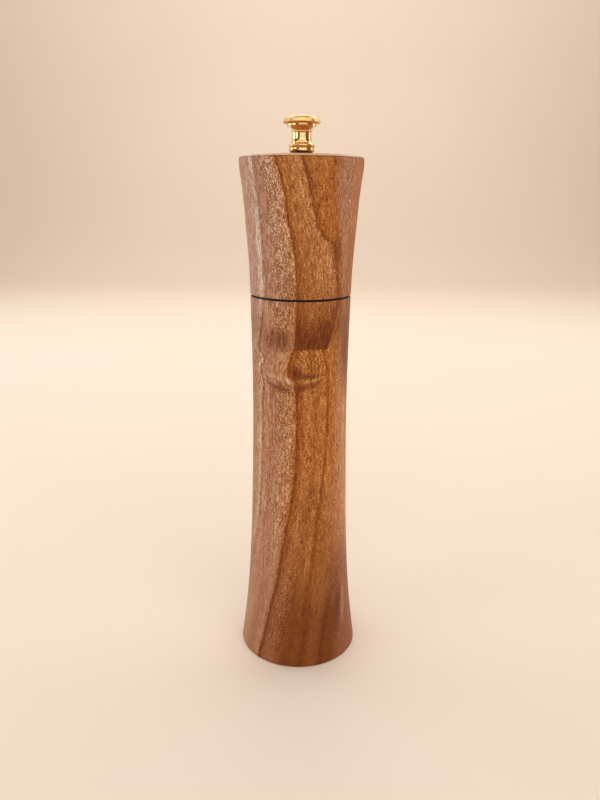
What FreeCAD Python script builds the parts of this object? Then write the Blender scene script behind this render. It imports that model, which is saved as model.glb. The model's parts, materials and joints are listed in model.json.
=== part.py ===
import FreeCAD, Part
import math
import os
from FreeCAD import Vector

# A turned wooden pepper mill in millimetres, standing on z = 0 with its axis on Z.
# The head turns a square shaft, and the shaft turns a grooved rotor inside a grooved
# stator at the foot. A spring pushes the rotor down, open. The finial nut on top draws
# the shaft up against the spring, which closes the grinding gap.
# Sizes grow outwards from the shaft and upwards from the foot, so each is set by itself.

# ---- shaft, nut thread and running fits ----
SHAFT_FLATS = 5.0              # across the flats of the square bar
SHAFT_CHAMFER = 0.5            # on the bar's long corners
FLAT_CLEARANCE = 0.1           # between the bar and a square hole, on each side
ROUND_CLEARANCE = 0.08         # radial, where a round part turns or slides in a bore
SHAFT_HOLE_CLEARANCE = 0.8     # between the bar's corners and the hole through the head
JOURNAL_RELIEF = 0.05          # the round ends are turned this much inside the flats
THREAD_LENGTH = 18.0
THREAD_PITCH = 0.8
THREAD_DEPTH = 0.42
THREAD_REACH = 9.7             # of the shaft into the finial nut
GRIND_TRAVEL = 1.0             # rise of the shaft from coarse to fine

# ---- spring ----
SPRING_WIRE = 0.9
SPRING_CLEARANCE = 1.25        # between the bar's corners and the coil
SPRING_TURNS = 4.6
SPRING_SEAT_CLEARANCE = 0.45
SPRING_SEAT_DEPTH = 1.0
SPRING_WASHER_THICKNESS = 0.6

# ---- burrs ----
ROTOR_TOP_WALL = 1.0           # around the spring's seat
ROTOR_SHOULDER = 1.5           # how far the nose of the rotor widens down to the throat
ROTOR_NOSE = 2.7               # height of the nose above the throat
ROTOR_DROP = 1.5               # of the rotor below the stator
GRIND_GAP = 0.6                # radial, at the coarse end
GRIND_HEIGHT = 10.0            # of the stator's grinding cone
BURR_ANGLE = 15.0              # of the grinding cone's wall from the axis, degrees
ROTOR_TEETH = 30
ROTOR_FEEDS = 6
STATOR_TEETH = 24
TOOTH_DEPTH = 0.7
TOOTH_WIDTH = 1.25
TOOTH_SKEW = 16.0              # turn of a tooth about the axis over its length, degrees
FEED_WIDTH = 3.2
FEED_SKEW = 34.0
STATOR_WALL = 1.8              # outside the mouth of the grinding cone
STATOR_FIT = 0.1
FUNNEL_HEIGHT = 10.2           # throat to the bridge's ledge
FLANGE_THICKNESS = 2.2
LEDGE_WIDTH = 0.8
LIP_WALL = 1.1                 # of the stator around the bridge
LIP_REACH = 0.5                # of the rolled lip over the bridge
LIP_HEIGHT = 0.8

# ---- bridge over the spring ----
BRIDGE_THICKNESS = 1.6
BRIDGE_FIT = 0.1
BRIDGE_HUB_WALL = 1.8
BRIDGE_ARM_WIDTH = 3.0
BRIDGE_ARMS = 3

# ---- crossbar, bush, clip and thrust washer ----
BAR_LIFT = 4.5                 # of the crossbar above the table
BAR_THICKNESS = 1.5
BAR_WIDTH = 10.0
BAR_BEND = 0.6                 # inside radius of its four bends
BAR_CLEARANCE = 0.6            # between its uprights and the rotor
BAR_SCREW_LAND = 0.2           # between a bend and a screw's head
BAR_END_LAND = 0.3             # beyond a screw's head
BAR_END_INSET = 0.4            # from the edge of the stator's flange
BUSH_WALL = 1.45
BUSH_FLANGE_WIDTH = 0.9
BUSH_FLANGE_THICKNESS = 0.8
BUSH_TAIL = 0.3
SHAFT_TAIL = 0.8               # of the shaft below the bush
CLIP_GAP = 2.2                 # bush to clip
CLIP_THICKNESS = 0.7
CLIP_GROOVE_DEPTH = 0.55
CLIP_RING_GAP = 0.85           # between the journal and the clip's ring
CLIP_RING_WIDTH = 1.3
CLIP_LUG_WIDTH = 1.7
CLIP_MOUTH = 5.0
THRUST_THICKNESS = 0.6
THRUST_WIDTH = 2.4

# ---- screws ----
BAR_SCREW_RADIUS = 1.5
BAR_SCREW_HEAD_RADIUS = 2.8
BAR_SCREW_HEAD_HEIGHT = 2.0
BAR_SCREW_LENGTH = 12.0
PLATE_SCREW_RADIUS = 1.3
PLATE_SCREW_HEAD_RADIUS = 2.5
PLATE_SCREW_HEAD_HEIGHT = 1.8
PLATE_SCREW_LENGTH = 10.0
PLATE_SCREWS = 3
SCREW_PITCH = 1.1
SCREW_THREAD_DEPTH = 0.4
SCREW_HOLE_CLEARANCE = 0.1
PILOT_SPARE = 0.6              # depth of a pilot hole beyond its screw's point
CROSS_SLOT = 0.75              # width of a slot of the cross recess

# ---- drive plate ----
PLATE_THICKNESS = 1.6
PLATE_INSET = 1.8              # from the tenon's edge

# ---- turned wood: walls, rises between gauge points, and reach beyond waist or neck ----
RECESS_CLEARANCE = 0.5         # around the stator's flange
FOOT_WALL = 9.7
FOOT_EDGE = 0.8
WAIST_WALL = 10.2
HEM_RISE = 20.0
HEM_REACH = 4.75
HIP_RISE = 35.0
HIP_REACH = 2.05
LOIN_RISE = 40.0
LOIN_REACH = 0.65
WAIST_RISE = 45.0
NECK_RISE = 49.6
NECK_REACH = 0.75
CHEEK_RISE = 14.6
CHEEK_REACH = 0.55
BROW_RISE = 17.0
BROW_REACH = 1.8
TEMPLE_RISE = 16.0
TEMPLE_REACH = 3.15
RIM_RISE = 11.0
RIM_REACH = 4.6
RIM_BAND = 3.0                 # upright band under the rim's rounding
RIM_ROUND = 1.4
CROWN_RISE = 1.2
CROWN_BOW = 0.2
CROWN_LAND = 6.5               # flat radius under the finial
EDGE_BREAK = 0.3               # chamfer of both edges at the parting line
TENON_LENGTH = 12.0
TENON_CLEARANCE = 0.3
TENON_LEAD = 0.6

# ---- glide ring in the parting line ----
GLIDE_THICKNESS = 0.8
GLIDE_INSET = 0.6              # from the outside of the neck
GLIDE_CLEARANCE = 0.4          # beyond the bore

# ---- finial nut and its washer ----
WASHER_THICKNESS = 0.9
WASHER_WIDTH = 1.3
SPIGOT_CLEARANCE = 0.3         # between the nut's spigot and the head
SPIGOT_LENGTH = 3.0
NUT_BORE_SPARE = 1.3
NUT_FOOT_RADIUS = 5.9
NUT_FOOT_EDGE = 0.5
NUT_COVE_RISE = 1.8
NUT_COVE_BOW = 0.2
NUT_BEAD_RISE = 0.8
NUT_BEAD_BOW = 0.13
NUT_NECK_RADIUS = 4.45
NUT_ANKLE_RISE = 3.4
NUT_ANKLE_BOW = 0.47
NUT_NECK_RISE = 2.3
NUT_THROAT_RADIUS = 6.2
NUT_THROAT_RISE = 2.1
NUT_THROAT_BOW = 0.35
NUT_BAND_REACH = 0.6
NUT_BAND_RISE = 1.0
NUT_DISC_REACH = 2.0
NUT_LIP_REACH = 1.2            # of the slope under the disc's edge
NUT_LIP_RISE = 0.8
KNURL_RISE = 1.4
KNURL_LEAN = 0.9
KNURL_TEETH = 56
KNURL_DEPTH = 0.38
NUT_SHOULDER_RISE = 1.2
NUT_SHOULDER_WIDTH = 1.6
NUT_SHOULDER_BOW = 0.18
NUT_DOME_RISE = 0.6

# ---- radii, outwards from the shaft ----
SHAFT_HALF = SHAFT_FLATS / 2
SHAFT_CORNER = math.hypot(SHAFT_HALF, SHAFT_HALF - SHAFT_CHAMFER)
JOURNAL_RADIUS = SHAFT_HALF - JOURNAL_RELIEF
SPRING_RADIUS = SHAFT_CORNER + SPRING_CLEARANCE + SPRING_WIRE / 2
SPRING_OUTSIDE = SPRING_RADIUS + SPRING_WIRE / 2
SEAT_RADIUS = SPRING_OUTSIDE + SPRING_SEAT_CLEARANCE
ROTOR_TOP_RADIUS = SEAT_RADIUS + ROTOR_TOP_WALL
ROTOR_THROAT_RADIUS = ROTOR_TOP_RADIUS + ROTOR_SHOULDER
BURR_SLOPE = math.tan(math.radians(BURR_ANGLE))
ROTOR_FOOT_RADIUS = ROTOR_THROAT_RADIUS + (GRIND_HEIGHT + ROTOR_DROP) * BURR_SLOPE
THROAT_RADIUS = ROTOR_THROAT_RADIUS + GRIND_GAP
MOUTH_RADIUS = THROAT_RADIUS + GRIND_HEIGHT * BURR_SLOPE
BARREL_RADIUS = MOUTH_RADIUS + STATOR_WALL
BRIDGE_SEAT_RADIUS = BARREL_RADIUS - LIP_WALL
LEDGE_RADIUS = BRIDGE_SEAT_RADIUS - LEDGE_WIDTH
BORE_RADIUS = BARREL_RADIUS + STATOR_FIT
TENON_RADIUS = BORE_RADIUS - TENON_CLEARANCE
SHAFT_HOLE_RADIUS = SHAFT_CORNER + SHAFT_HOLE_CLEARANCE
BAR_INSIDE = ROTOR_FOOT_RADIUS + BAR_CLEARANCE
BAR_SCREW_INSIDE = BAR_INSIDE + BAR_THICKNESS + BAR_BEND + BAR_SCREW_LAND
BAR_SCREW_OFFSET = BAR_SCREW_INSIDE + BAR_SCREW_HEAD_RADIUS
BAR_END_RADIUS = BAR_SCREW_OFFSET + BAR_SCREW_HEAD_RADIUS + BAR_END_LAND
FLANGE_RADIUS = BAR_END_RADIUS + BAR_END_INSET
RECESS_RADIUS = FLANGE_RADIUS + RECESS_CLEARANCE
FOOT_RADIUS = RECESS_RADIUS + FOOT_WALL
WAIST_RADIUS = BORE_RADIUS + WAIST_WALL
NECK_RADIUS = WAIST_RADIUS + NECK_REACH
BUSH_RADIUS = JOURNAL_RADIUS + ROUND_CLEARANCE + BUSH_WALL
PLATE_RADIUS = TENON_RADIUS - PLATE_INSET
PLATE_SCREW_CIRCLE = (PLATE_RADIUS + SHAFT_CORNER) / 2
SPIGOT_RADIUS = SHAFT_HOLE_RADIUS - SPIGOT_CLEARANCE

# ---- heights, upwards from the foot ----
BAR_TOP = BAR_LIFT + BAR_THICKNESS
BUSH_TOP = BAR_TOP + BUSH_FLANGE_THICKNESS
BUSH_FOOT = BAR_LIFT - BUSH_TAIL
SHAFT_FOOT = BUSH_FOOT - SHAFT_TAIL
CLIP_FOOT = BUSH_TOP + CLIP_GAP
THRUST_FOOT = CLIP_FOOT + CLIP_THICKNESS
ROTOR_FOOT = THRUST_FOOT + THRUST_THICKNESS
STATOR_FOOT = ROTOR_FOOT + ROTOR_DROP
RECESS_DEPTH = STATOR_FOOT + FLANGE_THICKNESS
BAR_SEAT = STATOR_FOOT - BAR_THICKNESS
THROAT_HEIGHT = STATOR_FOOT + GRIND_HEIGHT
ROTOR_TOP = THROAT_HEIGHT + ROTOR_NOSE
SPRING_FOOT = ROTOR_TOP - SPRING_SEAT_DEPTH
BRIDGE_FOOT = THROAT_HEIGHT + FUNNEL_HEIGHT
SPRING_TOP = BRIDGE_FOOT - SPRING_WASHER_THICKNESS
BRIDGE_TOP = BRIDGE_FOOT + BRIDGE_THICKNESS
STATOR_TOP = BRIDGE_TOP + LIP_HEIGHT
BODY_TOP = HEM_RISE + HIP_RISE + LOIN_RISE + WAIST_RISE + NECK_RISE
HEAD_FOOT = BODY_TOP + GLIDE_THICKNESS
TENON_FOOT = HEAD_FOOT - TENON_LENGTH
PLATE_FOOT = TENON_FOOT - PLATE_THICKNESS
RIM_HEIGHT = HEAD_FOOT + CHEEK_RISE + BROW_RISE + TEMPLE_RISE + RIM_RISE
HEAD_TOP = RIM_HEIGHT + RIM_BAND + RIM_ROUND + CROWN_RISE
NUT_FOOT = HEAD_TOP + WASHER_THICKNESS
SHAFT_TOP = NUT_FOOT + THREAD_REACH
THREAD_FOOT = SHAFT_TOP - THREAD_LENGTH

UP = Vector(0, 0, 1)
AXIS_FOOT = Vector(0, 0, 0)
QUARTER_BOW = math.sqrt(2) - 1     # bow of a quarter round, as a share of half its chord
CUT_SPARE = 0.5                    # how far a cutter runs past the face that it cuts


# ---- drawing and turning ----

def at(radius, height, angle=0.0):
    """Point at a radius, a height and an angle in degrees about the axis."""
    turn = math.radians(angle)
    return Vector(radius * math.cos(turn), radius * math.sin(turn), height)


def line(*points):
    """Straight edges from point to point, each given as (radius, height)."""
    corners = [at(*point) for point in points]
    return [Part.makeLine(start, end) for start, end in zip(corners, corners[1:])]


def curve(*points):
    """One smooth edge through all the points."""
    spline = Part.BSplineCurve()
    spline.interpolate([at(*point) for point in points])
    return [spline.toShape()]


def arc(start, end, bow):
    """Arc from start to end whose middle stands out to the right of the way by bow."""
    along = (end[0] - start[0], end[1] - start[1])
    length = math.hypot(*along)
    middle_radius = (start[0] + end[0]) / 2 + bow * along[1] / length
    middle_height = (start[1] + end[1]) / 2 - bow * along[0] / length
    return [Part.Arc(at(*start), at(middle_radius, middle_height), at(*end)).toShape()]


def quarter(start, end):
    """Quarter round from start to end, bulging to the right of the way."""
    half_chord = math.dist(start, end) / 2
    return arc(start, end, QUARTER_BOW * half_chord)


def dome(edge, top):
    """Arc from a dome's edge to its top on the axis, with its centre on the axis."""
    radius = (edge[0] ** 2 + (top[1] - edge[1]) ** 2) / (2 * (top[1] - edge[1]))
    half_chord = math.dist(edge, top) / 2
    return arc(edge, top, radius - math.sqrt(radius ** 2 - half_chord ** 2))


def lathe(edges):
    """Solid turned about the axis from a closed outline of edges."""
    return Part.Face(Part.Wire(edges)).revolve(AXIS_FOOT, UP, 360)


def turned(*points):
    """Solid turned from a straight-sided outline."""
    return lathe(line(*points, points[0]))


def ring(inside, outside, foot, top):
    """Flat ring, or tube, between two radii and two heights."""
    return turned((inside, foot), (outside, foot), (outside, top), (inside, top))


def block(x_size, y_size, foot, top):
    """Box centred on the axis."""
    corner = Vector(-x_size / 2, -y_size / 2, foot)
    return Part.makeBox(x_size, y_size, top - foot, corner)


def around(shape, count, first=0.0):
    """Copies of a shape, evenly spaced about the axis."""
    copies = []
    for index in range(count):
        turned_copy = shape.copy()
        turned_copy.rotate(AXIS_FOOT, UP, first + index * 360 / count)
        copies.append(turned_copy)
    return copies


def vee(tip_start, tip_end, width, reach):
    """V-shaped cutter with its point along a line, opening away from the axis by reach,
    or towards the axis where reach is negative, to a width at its open side."""
    way = tip_end - tip_start
    out = Vector(tip_start.x + tip_end.x, tip_start.y + tip_end.y, 0).normalize()
    side = way.cross(out).normalize() * (width / 2)
    mouth = tip_start + out * reach
    corners = [tip_start, mouth + side, mouth - side, tip_start]
    return Part.Face(Part.makePolygon(corners)).extrude(way)


def square_hole(foot, top):
    """Cutter for a square hole that slides on the shaft."""
    size = SHAFT_FLATS + 2 * FLAT_CLEARANCE
    return block(size, size, foot - CUT_SPARE, top + CUT_SPARE)


# ---- turned wood ----

def body_outside():
    """Side of the body, from the foot's edge up to the parting line."""
    hip_height = HEM_RISE + HIP_RISE
    waist_height = hip_height + LOIN_RISE + WAIST_RISE
    return curve(
        (FOOT_RADIUS, FOOT_EDGE),
        (WAIST_RADIUS + HEM_REACH, HEM_RISE),
        (WAIST_RADIUS + HIP_REACH, hip_height),
        (WAIST_RADIUS + LOIN_REACH, hip_height + LOIN_RISE),
        (WAIST_RADIUS, waist_height),
        (NECK_RADIUS, BODY_TOP - EDGE_BREAK),
    )


def head_outside():
    """Side of the head, from the parting line up to the rim's upright band."""
    cheek_height = HEAD_FOOT + CHEEK_RISE
    brow_height = cheek_height + BROW_RISE
    return curve(
        (NECK_RADIUS, HEAD_FOOT + EDGE_BREAK),
        (NECK_RADIUS + CHEEK_REACH, cheek_height),
        (NECK_RADIUS + BROW_REACH, brow_height),
        (NECK_RADIUS + TEMPLE_REACH, brow_height + TEMPLE_RISE),
        (NECK_RADIUS + RIM_REACH, RIM_HEIGHT),
    )


def body():
    """Hollow body: a through bore for the peppercorns, and a recess under the foot."""
    foot_inside = (FOOT_RADIUS - FOOT_EDGE, 0)
    edges = line((RECESS_RADIUS, 0), foot_inside)
    edges += quarter(foot_inside, (FOOT_RADIUS, FOOT_EDGE))
    edges += body_outside()
    edges += line(
        (NECK_RADIUS, BODY_TOP - EDGE_BREAK),
        (NECK_RADIUS - EDGE_BREAK, BODY_TOP),
        (BORE_RADIUS, BODY_TOP),
        (BORE_RADIUS, RECESS_DEPTH),
        (RECESS_RADIUS, RECESS_DEPTH),
        (RECESS_RADIUS, 0),
    )
    return lathe(edges).cut(bar_screw_holes(BAR_SEAT + BAR_SCREW_LENGTH + PILOT_SPARE))


def head():
    """Flaring head with a tenon below, which turns in the mouth of the body's bore."""
    rim_radius = NECK_RADIUS + RIM_REACH
    rim_edge = RIM_HEIGHT + RIM_BAND
    crown_edge = (rim_radius - RIM_ROUND, rim_edge + RIM_ROUND)
    crown_land = (CROWN_LAND, HEAD_TOP)
    edges = line(
        (SHAFT_HOLE_RADIUS, HEAD_TOP),
        (SHAFT_HOLE_RADIUS, TENON_FOOT),
        (TENON_RADIUS - TENON_LEAD, TENON_FOOT),
        (TENON_RADIUS, TENON_FOOT + TENON_LEAD),
        (TENON_RADIUS, HEAD_FOOT),
        (NECK_RADIUS - EDGE_BREAK, HEAD_FOOT),
        (NECK_RADIUS, HEAD_FOOT + EDGE_BREAK),
    )
    edges += head_outside()
    edges += line((rim_radius, RIM_HEIGHT), (rim_radius, rim_edge))
    edges += quarter((rim_radius, rim_edge), crown_edge)
    edges += arc(crown_edge, crown_land, CROWN_BOW)
    edges += line(crown_land, (SHAFT_HOLE_RADIUS, HEAD_TOP))
    return lathe(edges).cut(plate_screw_holes(PLATE_FOOT + PLATE_SCREW_LENGTH + PILOT_SPARE))


# ---- screws and their holes ----

def screw_outline(radius, length):
    """Ridged thread of a wood screw and its point, from the head's underside upwards."""
    root = radius - SCREW_THREAD_DEPTH
    point_foot = length - 2 * radius
    ridges = int((point_foot - SCREW_PITCH) / SCREW_PITCH)
    outline = [(root, 0)]
    for index in range(ridges):
        foot = point_foot - (ridges - index) * SCREW_PITCH
        outline += [(root, foot), (radius, foot + SCREW_PITCH / 2)]
    return outline + [(root, point_foot), (0, length)]


def wood_screw(radius, length, head_radius, head_height):
    """Pan-head screw pointing up, with the underside of its head on z = 0."""
    crown = (head_radius / 2, -head_height)
    shoulder = (head_radius, -head_height / 3)
    edges = line((0, length), (0, -head_height), crown)
    edges += arc(crown, shoulder, head_height / 5)
    edges += line(shoulder, (head_radius, 0), *screw_outline(radius, length))
    recess = (-head_height - CUT_SPARE, -head_height / 3)
    slot = block(head_radius, CROSS_SLOT, *recess)
    crossing = block(CROSS_SLOT, head_radius, *recess)
    return lathe(edges).cut([slot, crossing])


def bar_screws():
    """The two screws through the crossbar's feet and the stator's flange into the body."""
    size = (BAR_SCREW_HEAD_RADIUS, BAR_SCREW_HEAD_HEIGHT)
    screw = wood_screw(BAR_SCREW_RADIUS, BAR_SCREW_LENGTH, *size)
    screw.translate(Vector(BAR_SCREW_OFFSET, 0, BAR_SEAT))
    return Part.makeCompound(around(screw, 2))


def bar_screw_holes(top):
    """Cutters for the crossbar's screws, from below the crossbar up to a height."""
    foot = Vector(BAR_SCREW_OFFSET, 0, BAR_SEAT - CUT_SPARE)
    radius = BAR_SCREW_RADIUS + SCREW_HOLE_CLEARANCE
    return around(Part.makeCylinder(radius, top - foot.z, foot), 2)


def plate_screws():
    """The screws through the drive plate into the head's tenon."""
    size = (PLATE_SCREW_HEAD_RADIUS, PLATE_SCREW_HEAD_HEIGHT)
    screw = wood_screw(PLATE_SCREW_RADIUS, PLATE_SCREW_LENGTH, *size)
    screw.translate(Vector(PLATE_SCREW_CIRCLE, 0, PLATE_FOOT))
    return Part.makeCompound(around(screw, PLATE_SCREWS))


def plate_screw_holes(top):
    """Cutters for the drive plate's screws, from below the plate up to a height."""
    foot = Vector(PLATE_SCREW_CIRCLE, 0, PLATE_FOOT - CUT_SPARE)
    radius = PLATE_SCREW_RADIUS + SCREW_HOLE_CLEARANCE
    return around(Part.makeCylinder(radius, top - foot.z, foot), PLATE_SCREWS)


# ---- shaft and what it carries ----

def shaft():
    """Square bar with a round journal and clip groove below and a ridged thread above."""
    inside = SHAFT_HALF - SHAFT_CHAMFER
    corners = [
        Vector(SHAFT_HALF, -inside, ROTOR_FOOT),
        Vector(SHAFT_HALF, inside, ROTOR_FOOT),
        Vector(inside, SHAFT_HALF, ROTOR_FOOT),
        Vector(-inside, SHAFT_HALF, ROTOR_FOOT),
        Vector(-SHAFT_HALF, inside, ROTOR_FOOT),
        Vector(-SHAFT_HALF, -inside, ROTOR_FOOT),
        Vector(-inside, -SHAFT_HALF, ROTOR_FOOT),
        Vector(inside, -SHAFT_HALF, ROTOR_FOOT),
    ]
    section = Part.Face(Part.makePolygon(corners + corners[:1]))
    bar = section.extrude(UP * (THREAD_FOOT - ROTOR_FOOT))
    return bar.fuse([journal(), thread()])


def journal():
    """Round foot of the shaft, grooved for the clip, running up into the bar."""
    groove_radius = JOURNAL_RADIUS - CLIP_GROOVE_DEPTH
    return turned(
        (0, SHAFT_FOOT),
        (JOURNAL_RADIUS - EDGE_BREAK, SHAFT_FOOT),
        (JOURNAL_RADIUS, SHAFT_FOOT + EDGE_BREAK),
        (JOURNAL_RADIUS, CLIP_FOOT),
        (groove_radius, CLIP_FOOT),
        (groove_radius, THRUST_FOOT),
        (JOURNAL_RADIUS, THRUST_FOOT),
        (JOURNAL_RADIUS, ROTOR_FOOT + CUT_SPARE),
        (0, ROTOR_FOOT + CUT_SPARE),
    )


def thread():
    """Round top of the shaft with the thread for the finial nut, drawn as level ridges."""
    root = JOURNAL_RADIUS - THREAD_DEPTH
    ridges = int(THREAD_LENGTH / THREAD_PITCH) - 1
    outline = [(0, THREAD_FOOT - CUT_SPARE), (root, THREAD_FOOT - CUT_SPARE)]
    for index in range(ridges, 0, -1):
        foot = SHAFT_TOP - THREAD_DEPTH - index * THREAD_PITCH
        outline += [(root, foot), (JOURNAL_RADIUS, foot + THREAD_PITCH / 2)]
    tip_foot = SHAFT_TOP - THREAD_DEPTH
    return turned(*outline, (root, tip_foot), (root - EDGE_BREAK, SHAFT_TOP), (0, SHAFT_TOP))


def rotor():
    """Grooved inner burr with the spring's seat in its top and a square hole through it."""
    blank = turned(
        (0, ROTOR_FOOT),
        (ROTOR_FOOT_RADIUS, ROTOR_FOOT),
        (ROTOR_THROAT_RADIUS, THROAT_HEIGHT),
        (ROTOR_TOP_RADIUS, ROTOR_TOP),
        (SEAT_RADIUS, ROTOR_TOP),
        (SEAT_RADIUS, SPRING_FOOT),
        (0, SPRING_FOOT),
    )
    tooth_foot = at(ROTOR_FOOT_RADIUS - TOOTH_DEPTH, ROTOR_FOOT - CUT_SPARE)
    tooth_top = at(ROTOR_THROAT_RADIUS - TOOTH_DEPTH, THROAT_HEIGHT + CUT_SPARE, TOOTH_SKEW)
    teeth = around(vee(tooth_foot, tooth_top, TOOTH_WIDTH * 2, TOOTH_DEPTH * 2), ROTOR_TEETH)
    feed_foot = at(ROTOR_FOOT_RADIUS, ROTOR_FOOT, -FEED_SKEW)
    feed_top = at(SEAT_RADIUS + ROTOR_TOP_WALL / 3, ROTOR_TOP + CUT_SPARE)
    feed_reach = 2 * ROTOR_SHOULDER
    feeds = around(vee(feed_foot, feed_top, FEED_WIDTH, feed_reach), ROTOR_FEEDS)
    return blank.cut(feeds + teeth + [square_hole(ROTOR_FOOT, SPRING_FOOT)])


def thrust_washer():
    """Washer between the clip and the rotor."""
    inside = JOURNAL_RADIUS + ROUND_CLEARANCE
    return ring(inside, inside + THRUST_WIDTH, THRUST_FOOT, ROTOR_FOOT)


def rotor_clip():
    """E-shaped clip in the shaft's groove, which carries the washer and the rotor."""
    inside = JOURNAL_RADIUS + CLIP_RING_GAP
    hoop = ring(inside, inside + CLIP_RING_WIDTH, CLIP_FOOT, THRUST_FOOT)
    mouth_corner = Vector(CLIP_LUG_WIDTH / 2, -CLIP_MOUTH / 2, CLIP_FOOT)
    mouth = Part.makeBox(inside + CLIP_RING_WIDTH, CLIP_MOUTH, CLIP_THICKNESS, mouth_corner)
    lug_corner = Vector(0, -CLIP_LUG_WIDTH / 2, CLIP_FOOT)
    lug_length = inside + CLIP_RING_WIDTH / 2
    lug = Part.makeBox(lug_length, CLIP_LUG_WIDTH, CLIP_THICKNESS, lug_corner)
    lugs = around(lug, 4, 90)[:3]
    stem = Part.makeCylinder(JOURNAL_RADIUS - CLIP_GROOVE_DEPTH, BUSH_TOP + CLIP_FOOT)
    return hoop.cut(mouth).fuse(lugs).cut(stem)


# ---- stator, bridge and spring ----

def stator():
    """Flanged outer burr, with the grinding cone below and a funnel and ledge above."""
    edges = (
        (MOUTH_RADIUS, STATOR_FOOT),
        (FLANGE_RADIUS, STATOR_FOOT),
        (FLANGE_RADIUS, RECESS_DEPTH),
        (BARREL_RADIUS, RECESS_DEPTH),
        (BARREL_RADIUS, STATOR_TOP),
        (BRIDGE_SEAT_RADIUS - LIP_REACH, STATOR_TOP),
        (BRIDGE_SEAT_RADIUS - LIP_REACH, BRIDGE_TOP),
        (BRIDGE_SEAT_RADIUS, BRIDGE_TOP),
        (BRIDGE_SEAT_RADIUS, BRIDGE_FOOT),
        (LEDGE_RADIUS, BRIDGE_FOOT),
        (THROAT_RADIUS, THROAT_HEIGHT),
    )
    foot = at(MOUTH_RADIUS + TOOTH_DEPTH, STATOR_FOOT - CUT_SPARE)
    top = at(THROAT_RADIUS + TOOTH_DEPTH, THROAT_HEIGHT + 2 * CUT_SPARE, -TOOTH_SKEW)
    teeth = around(vee(foot, top, TOOTH_WIDTH * 2, -TOOTH_DEPTH * 2), STATOR_TEETH)
    return turned(*edges).cut(teeth + bar_screw_holes(RECESS_DEPTH + CUT_SPARE))


def spring_bridge():
    """Spider on the stator's ledge, which holds the spring down around the shaft."""
    hub_inside = SHAFT_CORNER + SHAFT_HOLE_CLEARANCE
    hub = ring(hub_inside, hub_inside + BRIDGE_HUB_WALL, BRIDGE_FOOT, BRIDGE_TOP)
    reach = BRIDGE_SEAT_RADIUS - BRIDGE_FIT
    corner = Vector(hub_inside + BRIDGE_HUB_WALL / 2, -BRIDGE_ARM_WIDTH / 2, BRIDGE_FOOT)
    arm = Part.makeBox(reach, BRIDGE_ARM_WIDTH, BRIDGE_THICKNESS, corner)
    bounds = Part.makeCylinder(reach, BRIDGE_THICKNESS, Vector(0, 0, BRIDGE_FOOT))
    return hub.fuse(around(arm, BRIDGE_ARMS, 180 / BRIDGE_ARMS)).common(bounds)


def spring_washer():
    """Washer between the spring and the bridge."""
    inside = SHAFT_CORNER + SHAFT_HOLE_CLEARANCE
    return ring(inside, SEAT_RADIUS, SPRING_TOP, BRIDGE_FOOT)


def spring():
    """Coil spring with both ends ground flat."""
    length = SPRING_TOP - SPRING_FOOT
    pitch = length / SPRING_TURNS
    helix = Part.makeHelix(pitch, length, SPRING_RADIUS)
    helix.translate(Vector(0, 0, SPRING_FOOT))
    start = at(SPRING_RADIUS, SPRING_FOOT)
    section = Part.Wire(Part.makeCircle(SPRING_WIRE / 2, start, Vector(0, 1, 0)))
    coil = Part.Wire(helix.Edges).makePipeShell([section], True, True)
    ground = Part.makeCylinder(SEAT_RADIUS, length, Vector(0, 0, SPRING_FOOT))
    return coil.common(ground)


# ---- crossbar and bush ----

def crossbar():
    """Bent strip across the foot, screwed up through the stator's flange."""
    outer = BAR_INSIDE + BAR_THICKNESS
    half = (
        (outer, BAR_LIFT),
        (outer, BAR_SEAT),
        (FLANGE_RADIUS, BAR_SEAT),
        (FLANGE_RADIUS, STATOR_FOOT),
        (BAR_INSIDE, STATOR_FOOT),
        (BAR_INSIDE, BAR_TOP),
    )
    mirrored = [(-radius, height) for radius, height in reversed(half)]
    points = [Vector(x, -BAR_WIDTH / 2, z) for x, z in [*half, *mirrored]]
    strip = Part.Face(Part.makePolygon(points + points[:1])).extrude(Vector(0, BAR_WIDTH, 0))
    strip = bend_corners(strip, outer, BAR_LIFT, BAR_BEND + BAR_THICKNESS)
    strip = bend_corners(strip, BAR_INSIDE, BAR_TOP, BAR_BEND)
    strip = bend_corners(strip, outer, BAR_SEAT, BAR_BEND)
    strip = bend_corners(strip, BAR_INSIDE, STATOR_FOOT, BAR_BEND + BAR_THICKNESS)
    ends = Part.makeCylinder(BAR_END_RADIUS, STATOR_FOOT)
    bush_hole = Part.makeCylinder(BUSH_RADIUS, BAR_TOP + CUT_SPARE)
    return strip.common(ends).cut([bush_hole, *bar_screw_holes(STATOR_FOOT + CUT_SPARE)])


def bend_corners(strip, x, height, radius):
    """Round the two bends of the strip that lie at plus and minus x, at a height."""
    bends = []
    for edge in strip.Edges:
        middle = edge.CenterOfMass
        if math.isclose(abs(middle.x), x) and math.isclose(middle.z, height):
            bends.append(edge)
    return strip.makeFillet(radius, bends)


def crossbar_bush():
    """Flanged bush in the crossbar, in which the shaft's journal turns and slides."""
    inside = JOURNAL_RADIUS + ROUND_CLEARANCE
    return turned(
        (inside, BUSH_FOOT),
        (BUSH_RADIUS, BUSH_FOOT),
        (BUSH_RADIUS, BAR_TOP),
        (BUSH_RADIUS + BUSH_FLANGE_WIDTH, BAR_TOP),
        (BUSH_RADIUS + BUSH_FLANGE_WIDTH, BUSH_TOP),
        (inside, BUSH_TOP),
    )


# ---- head fittings ----

def glide_ring():
    """Ring that the head turns on, seen as the dark parting line."""
    outside = NECK_RADIUS - GLIDE_INSET
    return ring(BORE_RADIUS + GLIDE_CLEARANCE, outside, BODY_TOP, HEAD_FOOT)


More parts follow.
